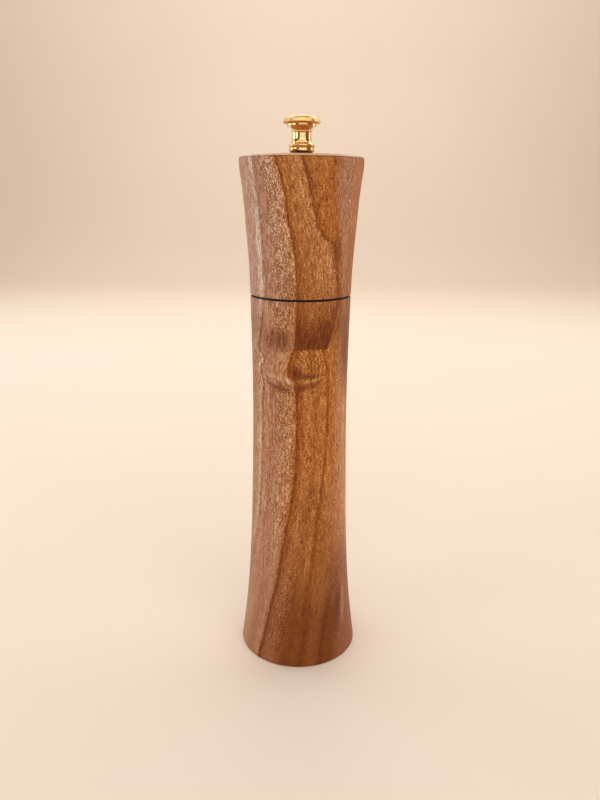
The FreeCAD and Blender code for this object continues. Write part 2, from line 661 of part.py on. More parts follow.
def drive_plate():
    """Plate under the tenon, whose square hole turns the shaft."""
    plate = Part.makeCylinder(PLATE_RADIUS, PLATE_THICKNESS, Vector(0, 0, PLATE_FOOT))
    holes = plate_screw_holes(TENON_FOOT + CUT_SPARE)
    return plate.cut([square_hole(PLATE_FOOT, TENON_FOOT), *holes])


def finial_washer():
    """Washer between the finial nut and the crown of the head."""
    inside = SPIGOT_RADIUS + ROUND_CLEARANCE
    return ring(inside, inside + WASHER_WIDTH, HEAD_TOP, NUT_FOOT)


def knurl(edge, edge_height, top, top_height):
    """Cutters for the straight knurl on the leaning side of the finial's disc."""
    overrun = CUT_SPARE * (edge - top) / (top_height - edge_height)
    foot = at(edge - KNURL_DEPTH + overrun, edge_height - CUT_SPARE)
    tip = at(top - KNURL_DEPTH - overrun, top_height + CUT_SPARE)
    width = 2 * math.pi * edge / KNURL_TEETH
    return around(vee(foot, tip, width, 1.5 * KNURL_DEPTH), KNURL_TEETH)


def finial_nut():
    """Turned finial with a knurled disc, a blind threaded bore and a spigot below."""
    bore = JOURNAL_RADIUS + ROUND_CLEARANCE
    bore_top = SHAFT_TOP + GRIND_TRAVEL + NUT_BORE_SPARE
    foot_edge = (NUT_FOOT_RADIUS, NUT_FOOT + NUT_FOOT_EDGE)
    bead_foot = (NUT_FOOT_RADIUS, foot_edge[1] + NUT_COVE_RISE)
    bead_top = (NUT_FOOT_RADIUS, bead_foot[1] + NUT_BEAD_RISE)
    neck_foot = (NUT_NECK_RADIUS, bead_top[1] + NUT_ANKLE_RISE)
    neck_top = (NUT_NECK_RADIUS, neck_foot[1] + NUT_NECK_RISE)
    throat = (NUT_THROAT_RADIUS, neck_top[1] + NUT_THROAT_RISE)
    band_radius = NUT_THROAT_RADIUS + NUT_BAND_REACH
    band_top = throat[1] + NUT_BAND_RISE
    disc_radius = band_radius + NUT_DISC_REACH
    disc_edge = band_top + NUT_LIP_RISE
    knurl_top = (disc_radius - KNURL_LEAN, disc_edge + KNURL_RISE)
    dome_edge = (knurl_top[0] - NUT_SHOULDER_WIDTH, knurl_top[1] + NUT_SHOULDER_RISE)
    dome_top = (0, dome_edge[1] + NUT_DOME_RISE)
    edges = line(
        dome_top,
        (0, bore_top),
        (bore, bore_top),
        (bore, NUT_FOOT - SPIGOT_LENGTH),
        (SPIGOT_RADIUS, NUT_FOOT - SPIGOT_LENGTH),
        (SPIGOT_RADIUS, NUT_FOOT),
        (NUT_FOOT_RADIUS - NUT_FOOT_EDGE, NUT_FOOT),
        foot_edge,
    )
    edges += arc(foot_edge, bead_foot, -NUT_COVE_BOW)
    edges += arc(bead_foot, bead_top, NUT_BEAD_BOW)
    edges += arc(bead_top, neck_foot, -NUT_ANKLE_BOW)
    edges += line(neck_foot, neck_top)
    edges += arc(neck_top, throat, -NUT_THROAT_BOW)
    edges += line(
        throat,
        (band_radius, throat[1]),
        (band_radius, band_top),
        (disc_radius - NUT_LIP_REACH, band_top),
        (disc_radius, disc_edge),
        knurl_top,
    )
    edges += arc(knurl_top, dome_edge, NUT_SHOULDER_BOW)
    edges += dome(dome_edge, dome_top)
    return lathe(edges).cut(knurl(disc_radius, disc_edge, *knurl_top))


# ---- the whole mill ----

def pieces():
    """Every piece in its place, by the name of its node."""
    return {
        "finial_nut": finial_nut(),
        "finial_washer": finial_washer(),
        "head": head(),
        "drive_plate": drive_plate(),
        "drive_plate_screws": plate_screws(),
        "glide_ring": glide_ring(),
        "body": body(),
        "shaft": shaft(),
        "spring_bridge": spring_bridge(),
        "spring_washer": spring_washer(),
        "spring": spring(),
        "rotor": rotor(),
        "thrust_washer": thrust_washer(),
        "rotor_clip": rotor_clip(),
        "stator": stator(),
        "crossbar": crossbar(),
        "crossbar_bush": crossbar_bush(),
        "crossbar_screws": bar_screws(),
    }


def main():
    """Write one STEP file for each piece."""
    os.makedirs("parts", exist_ok=True)
    for name, shape in pieces().items():
        shape.exportStep(f"parts/{name}.step")
        print(f"{name}: {len(shape.Solids)} solid(s), {shape.Volume:.1f} mm3, valid {shape.isValid()}")


if __name__ == "__main__":
    main()
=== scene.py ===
import sys

import json
import logging
import math
from collections.abc import Callable
from dataclasses import dataclass, field
from enum import Enum, auto
from functools import partial

import bpy
import numpy
from mathutils import Matrix, Vector


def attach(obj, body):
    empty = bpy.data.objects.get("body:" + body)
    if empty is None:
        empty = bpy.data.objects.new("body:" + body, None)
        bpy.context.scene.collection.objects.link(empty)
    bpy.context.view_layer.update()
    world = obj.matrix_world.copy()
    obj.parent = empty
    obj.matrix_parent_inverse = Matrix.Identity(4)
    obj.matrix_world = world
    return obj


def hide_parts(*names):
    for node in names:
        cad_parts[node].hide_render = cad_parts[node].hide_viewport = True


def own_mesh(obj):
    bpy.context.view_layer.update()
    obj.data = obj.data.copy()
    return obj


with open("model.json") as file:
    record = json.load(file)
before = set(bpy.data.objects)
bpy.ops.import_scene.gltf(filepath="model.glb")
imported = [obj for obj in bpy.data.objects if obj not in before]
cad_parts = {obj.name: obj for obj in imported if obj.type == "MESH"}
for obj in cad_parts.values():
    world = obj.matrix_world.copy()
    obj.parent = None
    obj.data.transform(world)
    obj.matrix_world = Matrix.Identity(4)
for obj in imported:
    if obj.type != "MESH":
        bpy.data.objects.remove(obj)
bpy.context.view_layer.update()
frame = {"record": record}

# A turned walnut pepper mill on a pale floor. The wood, the finial and the spring are modelled
# here afresh, and the rest of the mechanism is a smoothed copy of the frame's own nodes.
# Sizes are millimetres in the classes and metres in the meshes.

log = logging.getLogger("pepper_mill")

MM = 0.001
AXIS_FOOT = (0.0, 0.0, 0.0)        # where the mill's axis meets the floor
MERGE_REACH = 0.001 * MM           # between two points that are one

Point = tuple[float, float]        # two measures of a spot, such as its radius and height
Span = tuple[float, float]         # where a change starts and where it is full
Triple = tuple[float, float, float]
Outline = list[Point]
Stops = tuple[tuple[float, str], ...]
Feeds = dict[str | int, object]
AddNode = Callable[..., bpy.types.Node]

SUBPARTS = {part["node"]: part["material_slot"] for part in frame["record"]["subparts"]}
BODY_OF = {
    node: body for body, nodes in frame["record"]["behaviour"]["bodies"].items() for node in nodes
}


# ---- nodes -------------------------------------------------------------------------


def srgb_to_linear(code: str) -> tuple[float, float, float, float]:
    """Turn an sRGB hex colour into the linear colour that a shader takes.

    Args:
        code: Colour such as "#A56B3C".

    Returns:
        Red, green, blue and alpha, linear.
    """
    parts = [int(code[place:place + 2], 16) / 255 for place in (1, 3, 5)]
    linear = [part / 12.92 if part <= 0.04045 else ((part + 0.055) / 1.055) ** 2.4 for part in parts]
    return (*linear, 1.0)


def add_node(
    tree: bpy.types.NodeTree,
    kind: str,
    feeds: Feeds | None = None,
    **settings: object,
) -> bpy.types.Node:
    """Add a shader node with its settings, values and links.

    Args:
        tree: Node tree that takes the node.
        kind: Node type without its prefix, such as "TexNoise".
        feeds: Input name or number, and the value, socket or node that feeds it.
        **settings: Attributes of the node and their values.

    Returns:
        The new node.
    """
    node = tree.nodes.new("ShaderNode" + kind)
    for name, value in settings.items():
        setattr(node, name, value)
    for key, value in (feeds or {}).items():
        if isinstance(value, bpy.types.Node):
            value = value.outputs[0]
        if isinstance(value, bpy.types.NodeSocket):
            tree.links.new(value, node.inputs[key])
        else:
            node.inputs[key].default_value = value
    return node


@dataclass(frozen=True)
class Surface:
    """A finish that shader nodes make.

    Attributes:
        name: Name of its material.
    """

    name: str

    def material(self) -> bpy.types.Material:
        """Build the material.

        Returns:
            The material, whose shader is the finish's own skin.
        """
        material = bpy.data.materials.new(self.name)
        material.use_nodes = True
        material.node_tree.nodes.clear()
        add = partial(add_node, material.node_tree)
        spot = add("VectorMath", {0: add("TexCoord").outputs["Object"], "Scale": 1 / MM}, operation="SCALE")
        add("OutputMaterial", {0: self.skin(add, spot)})
        return material

    def skin(self, add: AddNode, spot: bpy.types.Node) -> bpy.types.Node:
        """Add the shader at a spot, given in millimetres. Each kind of finish has its own."""
        raise NotImplementedError


# ---- modelling ---------------------------------------------------------------------


def clear_selection() -> None:
    """Go to object mode and deselect everything, so that an operator acts on the new piece alone."""
    if bpy.context.object and bpy.context.object.mode != "OBJECT":
        bpy.ops.object.mode_set(mode="OBJECT")
    bpy.ops.object.select_all(action="DESELECT")


def take_hold(piece: bpy.types.Object) -> None:
    """Select one piece alone and make it the active one.

    Args:
        piece: Piece that the next operators act on.
    """
    clear_selection()
    piece.select_set(True)
    bpy.context.view_layer.objects.active = piece


def mark_points(piece: bpy.types.Object, marked: Callable[[Vector], bool]) -> None:
    """Select points of a piece by their place, and go to edit mode.

    Args:
        piece: Piece, already taken hold of, in object mode.
        marked: Says of a point's place, in metres, whether it is selected.
    """
    bpy.ops.object.mode_set(mode="EDIT")
    bpy.ops.mesh.select_mode(type="VERT")
    bpy.ops.mesh.select_all(action="DESELECT")
    bpy.ops.object.mode_set(mode="OBJECT")
    for vertex in piece.data.vertices:
        vertex.select = marked(vertex.co)
    bpy.ops.object.mode_set(mode="EDIT")


def smooth_edges(piece: bpy.types.Object, angle: float) -> None:
    """Shade a piece smooth, and keep edges sharper than an angle in degrees crisp."""
    take_hold(piece)
    bpy.ops.object.shade_smooth_by_angle(angle=math.radians(angle))


def smooth_through(gauges: Outline, spacing: float) -> Outline:
    """Draw one smooth line through a few gauge points, as a turner does by eye.

    Args:
        gauges: Radius and height of each gauge point, in rising order.
        spacing: Greatest rise between two points of the line.

    Returns:
        Points along the line, the gauge points among them.
    """
    radii = numpy.array([point[0] for point in gauges])
    heights = numpy.array([point[1] for point in gauges])
    rises = numpy.diff(heights)
    slopes = numpy.diff(radii) / rises
    bends = numpy.zeros(len(gauges))
    inner = numpy.diag(2 * (rises[:-1] + rises[1:]))
    inner += numpy.diag(rises[1:-1], 1) + numpy.diag(rises[1:-1], -1)
    bends[1:-1] = numpy.linalg.solve(inner, 6 * numpy.diff(slopes))
    line: Outline = [gauges[0]]
    for index, rise in enumerate(rises):
        for share in numpy.linspace(0, 1, math.ceil(rise / spacing) + 1)[1:]:
            back, ahead = (1 - share) * rise, share * rise
            radius = (bends[index] * back ** 3 + bends[index + 1] * ahead ** 3) / (6 * rise)
            radius += (radii[index] / rise - bends[index] * rise / 6) * back
            radius += (radii[index + 1] / rise - bends[index + 1] * rise / 6) * ahead
            line.append((float(radius), float(heights[index] + ahead)))
    return line


def bow_between(start: Point, end: Point, bow: float, steps: int) -> Outline:
    """Draw an arc whose middle stands off the straight line between its ends.

    Args:
        start: Radius and height where the arc starts.
        end: Radius and height where it ends.
        bow: How far its middle stands out to the right of the way.
        steps: Number of equal parts.

    Returns:
        Points of the arc after its start.
    """
    chord = math.dist(start, end)
    half = 2 * math.atan2(2 * bow, chord)
    along = ((end[0] - start[0]) / chord, (end[1] - start[1]) / chord)
    reach = chord / 2 / math.sin(half) if bow else 0.0
    points: Outline = []
    for index in range(1, steps + 1):
        angle = -half + 2 * half * index / steps
        forward = chord / 2 + reach * math.sin(angle) if bow else chord * index / steps
        out = reach * (math.cos(angle) - math.cos(half)) if bow else 0.0
        points.append((start[0] + along[0] * forward + along[1] * out,
                       start[1] + along[1] * forward - along[0] * out))
    return points


def round_corner(before: Point, corner: Point, after: Point, size: float) -> Outline:
    """Ease a sharp corner of an outline with a small round.

    Args:
        before: Point of the outline before the corner.
        corner: Radius and height of the corner.
        after: Point of the outline after the corner.
        size: How far along each side the round reaches.

    Returns:
        Points of the round, in order, in place of the corner.
    """
    middle = Vector(corner)
    start = middle + (Vector(before) - middle).normalized() * size
    end = middle + (Vector(after) - middle).normalized() * size
    points: Outline = []
    for share in (0.0, 0.33, 0.67, 1.0):
        spot = start * (1 - share) ** 2 + middle * 2 * share * (1 - share) + end * share ** 2
        points.append((spot.x, spot.y))
    return points


def draw_outline(name: str, outline: Outline) -> bpy.types.Object:
    """Draw an outline edge by edge in the plane of the axis.

    Args:
        name: Name of the piece.
        outline: Radius and height of each point, in millimetres.

    Returns:
        The piece, in edit mode, with the whole outline selected.
    """
    clear_selection()
    bpy.ops.mesh.primitive_plane_add(size=MM, location=(outline[0][0] * MM, 0, outline[0][1] * MM))
    piece = bpy.context.object
    piece.name = piece.data.name = name
    bpy.ops.object.transform_apply(location=True, rotation=False, scale=False)
    bpy.ops.object.mode_set(mode="EDIT")
    bpy.ops.mesh.select_mode(type="VERT")
    bpy.ops.mesh.select_all(action="SELECT")
    bpy.ops.mesh.merge(type="CENTER")
    for start, end in zip(outline, outline[1:]):
        step = ((end[0] - start[0]) * MM, 0, (end[1] - start[1]) * MM)
        bpy.ops.mesh.extrude_region_move(TRANSFORM_OT_translate={"value": step})
    bpy.ops.mesh.select_all(action="SELECT")
    return piece


def spin_outline(name: str, outline: Outline, steps: int) -> bpy.types.Object:
    """Turn an outline once round the axis into a closed solid, as on a lathe.

    Args:
        name: Name of the piece.
        outline: Radius and height of each point, in millimetres.
        steps: Number of parts in the full turn.

    Returns:
        The turned piece, with its normals outwards, in object mode.
    """
    piece = draw_outline(name, outline)
    bpy.ops.mesh.spin(steps=steps, angle=math.tau, center=AXIS_FOOT, axis=(0, 0, 1))
    bpy.ops.mesh.select_all(action="SELECT")
    bpy.ops.mesh.remove_doubles(threshold=MERGE_REACH)
    bpy.ops.mesh.normals_make_consistent(inside=False)
    bpy.ops.object.mode_set(mode="OBJECT")
    return piece


# ---- the wood ----------------------------------------------------------------------

BLOCK_HEIGHT = 260.0
LINE_REACH = 40.0                  # how far from the axis a line may wander


@dataclass(frozen=True)
class GrainLine:
    """One line of the wood's figure, which wanders up the front of the mill.

    Attributes:
        points: Height, and distance across from the axis, of the points it passes.
    """

    points: tuple[Point, ...]

    def trace(self, add: AddNode, share: bpy.types.Node) -> bpy.types.Node:
        """Add nodes that follow the line up the mill.

        Args:
            add: Adds a node to the material.
            share: Height, as a share of the block's.

        Returns:
            The node that gives the line's distance across at that height.
        """
        curve_node = add("FloatCurve", {"Value": share})
        curve = curve_node.mapping.curves[0]
        spots = [(height / BLOCK_HEIGHT, 0.5 + across / LINE_REACH / 2) for height, across in self.points]
        while len(curve.points) < len(spots):
            curve.points.new(0.5, 0.5)
        for point, spot in zip(curve.points, spots):
            point.location = spot
            point.handle_type = "AUTO_CLAMPED"
        curve_node.mapping.update()
        return add("Math", {0: curve_node, 1: 2 * LINE_REACH, 2: -LINE_REACH}, operation="MULTIPLY_ADD")


class Measure(Enum):
    """What an edge of a zone is measured by."""

    height = auto()
    torn_height = auto()           # height with a ripple, so that the edge is torn
    place = auto()                 # among the four lines of the figure
    radius = auto()                # from the mill's axis
    front = auto()                 # 1 on the front, 0 on the back


@dataclass(frozen=True)
class Zone:
    """A soft-edged part of the wood.

    Attributes:
        edges: What each edge is measured by, where the zone ends there and where it is full.
        strength: How much of the zone shows, up to 1.
        colour: sRGB hex colour laid there, if it is for a colour.
    """

    edges: tuple[tuple[Measure, float, float], ...]
    strength: float = 1.0
    colour: str = ""


@dataclass(frozen=True)
class Patch:
    """A soft-edged oval where the wood is another colour.

    Attributes:
        across: Distance of its middle across from the axis.
        height: Height of its middle.
        width: Half its width.
        rise: Half its height.
        colour: sRGB hex colour of its middle.
        strength: How much of the colour shows, up to 1.
        soft: Share of its reach over which it fades.
    """

    across: float
    height: float
    width: float
    rise: float
    colour: str
    strength: float
    soft: float = 0.8


@dataclass(frozen=True)
class Streak:
    """A thin bowed line in the wood.

    Attributes:
        start: Distance across and height of its left end.
        end: Distance across and height of its right end.
        bow: How far its middle sags below the straight line between them.
        thickness: Half its thickness at its left end.
        colour: sRGB hex colour.
        strength: How much of the colour shows, up to 1.
        tip: Thickness at its right end, as a share of that at the left.
        core: Share of its thickness that has the full colour.
        end_fade: How far from its middle it ends, and where it is full, as shares of its length.
    """

    start: Point
    end: Point
    bow: float
    thickness: float
    colour: str
    strength: float
    tip: float = 1.0
    core: float = 0.1
    end_fade: Span = (0.54, 0.3)


LEFT_LINE = GrainLine((
    (0, -34), (20, -29.5), (48, -24.5), (75, -20.5), (98.6, -18.7), (120, -18), (140, -17.9),
    (150, -17.3), (155, -18.8), (162, -17.2), (166, -19.7), (175, -18.6), (185, -18), (192, -17.4),
    (208, -18.2), (221, -19), (234, -20.2), (247, -21.8), (260, -23.2),
))
HEART_LINE = GrainLine((
    (0, -21.7), (11.7, -19), (33.8, -14.1), (48.6, -10.9), (75.4, -6.9), (91.8, -3.9), (107.6, -2.05),
    (128, -1.7), (147, -1.8), (150.3, -4.2), (156.6, -6.1), (163.4, -4.7), (169.7, -2.4),
    (181.4, -2), (191.9, -2.06), (212.9, -3.5), (225.8, -5.8), (238.4, -7.95), (250.6, -11.4),
    (260, -14.5),
))
RIGHT_LINE = GrainLine((
    (0, -2), (9.7, -0.4), (37, 3.5), (59, 6.8), (80, 9.1), (101, 11.8), (121.8, 13), (142, 13.6),
    (159.4, 12.7), (165.8, 11.7), (169, 12.6), (180.5, 15.7), (191, 17.4), (203.6, 16.1),
    (212.5, 14.6), (215.8, 14.0), (216.4, 13.5), (216.6, 11.7), (217.1, 11.0), (218.6, 10.1), (223.7, 7.4),
    (232.2, 5.1), (242.5, 2.4), (250.6, 0.2), (260, -2.2),
))
SHADE_LINE = GrainLine((
    (0, 12), (8, 12.4), (18.7, 13.6), (29, 15.6), (39, 18.1), (47.5, 21), (55, 22.5), (70, 20.5),
    (100, 18.5), (150, 18.8), (185, 19.5), (200, 19.5), (240, 20.3), (260, 20.6),
))

# Colour across the front at three heights. -1 is the left line, 0 the heart line, 1 the right line and 2 the
# shade line. They were read off the lit wood: the pale stops left of -1.2 and right of 1.9 are the grain's
# colour with a painted sheen on it.
HEAD_TONES = (
    (-2.3, "#A06848"), (-1.7, "#B4846A"), (-1.3, "#C7A18B"), (-1.16, "#C3A08D"), (-1.09, "#DCC8B6"),
    (-1.01, "#D4BCA8"), (-0.96, "#AF826B"), (-0.72, "#BA9074"), (-0.4, "#C8A189"), (-0.12, "#C79672"),
    (-0.04, "#CE9A6A"), (0.0, "#834314"), (0.05, "#9F5C1E"), (0.12, "#B2753A"), (0.3, "#B77941"),
    (0.6, "#C48952"), (0.85, "#CD925B"), (0.96, "#BA7E4D"), (1.0, "#7D4213"), (1.05, "#9B5A20"),
    (1.15, "#B16F30"), (1.4, "#BD7D42"), (1.65, "#B27138"), (1.9, "#BC896B"), (2.15, "#C38860"),
    (2.6, "#BC7D46"),
)
BODY_TONES = (
    (-2.3, "#A0683F"), (-1.7, "#A56C46"), (-1.3, "#B77E57"), (-1.16, "#C0906C"), (-1.1, "#D8B294"),
    (-1.06, "#D0A686"), (-1.01, "#9C6648"), (-0.965, "#CC9A73"), (-0.8, "#BA8765"), (-0.5, "#C09170"),
    (-0.14, "#CB9668"), (-0.04, "#B47543"), (0.0, "#7E350E"), (0.05, "#9F5911"), (0.12, "#A86522"),
    (0.3, "#C2834A"), (0.6, "#B17032"), (0.88, "#CA8A4C"), (0.95, "#AB682E"), (0.99, "#A35A11"),
    (1.04, "#B6691F"), (1.12, "#C4853F"), (1.35, "#BD7C3E"), (1.65, "#BD7D44"), (2.1, "#CC9063"),
    (2.6, "#D69D6A"), (3.0, "#C08450"),
)
BASE_TONES = (
    (-1.2, "#A5704F"), (-1.0, "#B08062"), (-0.72, "#BA8862"), (-0.4, "#A77354"), (-0.12, "#B98664"),
    (-0.04, "#A46F4D"), (0.0, "#713214"), (0.05, "#864921"), (0.12, "#985F39"), (0.3, "#9E6441"),
    (0.5, "#8C5124"), (0.75, "#81450D"), (0.96, "#8B4C12"), (1.0, "#7C4010"), (1.06, "#854810"),
    (1.15, "#773B05"), (1.4, "#8B4D1C"), (1.7, "#8C4E1D"), (1.95, "#6F3204"), (2.02, "#804406"),
    (2.3, "#804107"), (2.7, "#9A5D37"),
)
TONE_LOW, TONE_HIGH = -2.3, 3.0    # places where the colours start and end
LIGHTER = (0.64, 1.06, 1.6)        # how much red, green and blue change where the wood is lighter

# The shade right of the dark shoulder, the shoulder under the parting line, and the dark left line.
SHOULDER_ZONES = (
    Zone(((Measure.torn_height, 168, 178), (Measure.height, 200, 186), (Measure.place, 0.5, 1.0),
          (Measure.place, 2.6, 1.7)), 0.5, "#84451A"),
    Zone(((Measure.torn_height, 167.3, 168.8), (Measure.height, 190, 172), (Measure.place, -0.05, 0.03),
          (Measure.place, 1.25, 0.95)), 0.9, "#783804"),
    Zone(((Measure.height, 125, 150), (Measure.height, 187, 178), (Measure.place, -1.045, -1.02),
          (Measure.place, -0.97, -1.0)), 0.7, "#74422A"),
)
# A painted highlight as a pale line along the rim's round, and painted shade as the dark line under it.
RIM_PAINTED_LIGHT_ZONES = (
    Zone(((Measure.height, 252.5, 252.8), (Measure.radius, 26.6, 29.6)), 0.85, "#EBCBA4"),
    Zone(((Measure.height, 252.0, 252.3), (Measure.height, 252.75, 252.5)), 0.5, "#6E3E22"),
)
# Flecks left of the heart line on the head and on the body, right of it, and at the foot.
LACE_ZONES = (
    Zone(((Measure.height, 168, 180), (Measure.place, -0.9, -0.5), (Measure.place, 0.0, -0.06))),
    Zone(((Measure.height, 40, 90), (Measure.height, 153, 146), (Measure.place, -0.95, -0.4),
          (Measure.place, 0.0, -0.06))),
    Zone(((Measure.height, 30, 80), (Measure.place, 0.05, 0.15), (Measure.place, 2.2, 1.2)), 0.6),
    Zone(((Measure.height, 2, 14), (Measure.height, 62, 48), (Measure.place, 0.08, 0.2),
          (Measure.place, 0.75, 0.5)), 0.8),
)
RING_ZONE = Zone((
    (Measure.height, 153, 156), (Measure.height, 168.5, 166.5), (Measure.place, 0.1, 0.25),
    (Measure.place, 1.25, 0.95), (Measure.front, 0.0, 1.0),
))
# Darker and paler clouds: round the bud, along both sides, up the middle and at the foot. The long dark
# one down the right side is painted shade, and the thin pale one at the foot's right edge a painted sheen.
PATCHES = (
    Patch(-10.0, 171.5, 11.0, 8.5, "#7A4228", 0.72),
    Patch(5.5, 160, 7.5, 8.0, "#A9692F", 0.6),
    Patch(-1.8, 156.6, 4.6, 4.8, "#7C3C0A", 0.92),
    Patch(-0.6, 149.2, 3.4, 3.2, "#7E3C08", 0.7),
    Patch(-9.0, 149.0, 7.5, 4.0, "#8A5030", 0.5),
    # painted shade down the right side
    Patch(23.0, 166.0, 6.5, 32.0, "#703600", 0.75),
    Patch(-20.0, 174.0, 6.0, 16.0, "#8A5A3C", 0.4),
    Patch(6.0, 82.0, 10.0, 22.0, "#8E5220", 0.35),
    Patch(-4.5, 67.0, 5.0, 11.0, "#8E5220", 0.4),
    Patch(4.0, 190.0, 26.0, 17.0, "#8A5228", 0.22),
    Patch(16.0, 212.0, 3.2, 10.0, "#7E4618", 0.75),
    Patch(9.0, 42.0, 6.0, 17.0, "#AC6C3C", 0.35),
    Patch(20.3, 27.0, 2.4, 20.0, "#6E3416", 0.7),
    # painted sheen at the foot's right edge
    Patch(23.1, 30.0, 1.5, 17.0, "#BC8262", 0.85),
)
# The bud's dark eyelids, and the pale and dark lines that run into it.
STREAKS = (
    Streak((-5.0, 155.6), (12.0, 155.2), 1.2, 3.6, "#7C3C0A", 0.64, 0.3),
    Streak((-3.5, 147.4), (11.5, 152.8), 0.7, 3.6, "#7E3C08", 0.7, 0.2),
    Streak((-18.0, 155.0), (-4.0, 152.0), 0.4, 1.6, "#D2A684", 0.75),
    Streak((-7.0, 152.4), (-3.0, 150.2), -0.2, 2.0, "#D8AC80", 0.7),
    Streak((-17.0, 151.2), (-3.5, 147.0), 0.8, 1.5, "#7E442A", 0.64, 1.3),
    Streak((1.0, 152.4), (11.0, 153.6), 0.5, 0.9, "#C48A52", 0.6),
)


@dataclass(frozen=True)
class FiguredWalnut(Surface):
    """Black walnut, turned, oiled and buffed.

    The eye gets brown long-grained wood with broad leaning bands whose edges are sharp on
    one side, a lace of pale ray flecks beside the heart line, a bud with rings round it,
    short dark pores that run with the grain, and a satin sheen.
    """

    ior: float = 1.5
    gloss: float = 0.22
    roughness: float = 0.45
    buffed_rim: Span = (252.2, 252.9)
    buffed: float = 0.38           # share of the roughness that is left there

    # The figure that all the rest lies on, and its zones, patches and streaks.
    lines: tuple[GrainLine, ...] = (LEFT_LINE, HEART_LINE, RIGHT_LINE, SHADE_LINE)
    tones: tuple[Stops, ...] = (BASE_TONES, BODY_TONES, HEAD_TONES)
    tone_changes: tuple[Span, ...] = ((20, 90), (176, 200))  # heights from one to the next
    shoulder: tuple[Zone, ...] = SHOULDER_ZONES
    # painted highlight and painted shade on the rim's round
    rim: tuple[Zone, ...] = RIM_PAINTED_LIGHT_ZONES
    patches: tuple[Patch, ...] = PATCHES
    streaks: tuple[Streak, ...] = STREAKS

    # How the grain wavers across: waves in a millimetre each way, and how far they reach.
    wavers: tuple[tuple[Triple, float], ...] = (((0.22, 0.22, 0.07), 1.0), ((0.8, 0.8, 0.55), 2.4))
    front_fade: Span = (6.0, -6.0)  # depths where the front's figure ends and is full
    back_start: float = -10.0      # depth from which the lines shift towards the back
    back_ease: float = 10.0
    back_lean: float = 0.35        # how far they shift for each millimetre of depth
    back_set: float = 3.2          # how far they are shifted level with the axis
    tear_scale: float = 0.5        # ripples in a millimetre along the shoulder's torn foot
    tear_reach: float = 2.4

    # Width and length of each layer of fibres, and how much it lightens or darkens.
    fibres: tuple[Triple, ...] = (
        (4.0, 80.0, 0.10), (1.1, 18.0, 0.12), (0.6, 5.5, 0.42), (0.5, 1.3, 0.24),
    )
    fibre_noise: Span = (0.3, 0.7)  # from the darkest to the lightest
    fibre_fade: Span = (20, 80)    # heights, from the foot up
    fibre_least: float = 0.6       # share of them at the foot
    side_band: Triple = (5.0, 110.0, 0.34)  # bolder fibres on the two sides
    side_fade: Span = (10, 2)      # depths, towards the sides

    pore_width: float = 0.42       # really 0.2 mm, drawn as coarse as it needs to show
    pore_length: float = 3.6
    pore_noise: Span = (0.5, 0.7)  # from closed to open
    pore_fade: Span = (10, 90)     # heights, from the foot up
    pore_least: float = 0.45       # share of them at the foot
    pore_depth: float = 0.03
    pore_bump: float = 0.25
    pore_roughness: float = 0.14   # added in the pores
    pore_tint: str = "#C9A98E"     # multiplies the wood's colour

    lace: tuple[Zone, ...] = LACE_ZONES
    fleck_pitch: float = 1.05      # really 0.3 mm, drawn as coarse as it needs to show
    fleck_narrow: float = 0.85     # their width, as a share of their height
    fleck_winding: float = 0.4
    fleck_edge: Span = (0.02, 0.12)  # from a fleck's middle line
    fleck_light: Span = (0.45, -0.42)  # on a fleck, and between flecks

    rings: Zone = RING_ZONE
    ring_pitch: float = 1.7        # of the growth rings round the bud
    ring_centre: Triple = (-3.0, 0.0, 157.5)
    ring_narrow: float = 0.8       # their width, as a share of their height
    ring_waves: float = 0.3        # bends in a millimetre along a ring
    ring_bend: float = 9.0         # how far they reach, in radians of the ring pitch
    ring_light: Span = (-0.32, 0.36)  # from the darkest to the lightest

    def skin(self, add: AddNode, spot: bpy.types.Node) -> bpy.types.Node:
        """Add the shader at a spot, given in millimetres, from the layers of the block."""
        return WoodBlock(self, add, spot).skin()


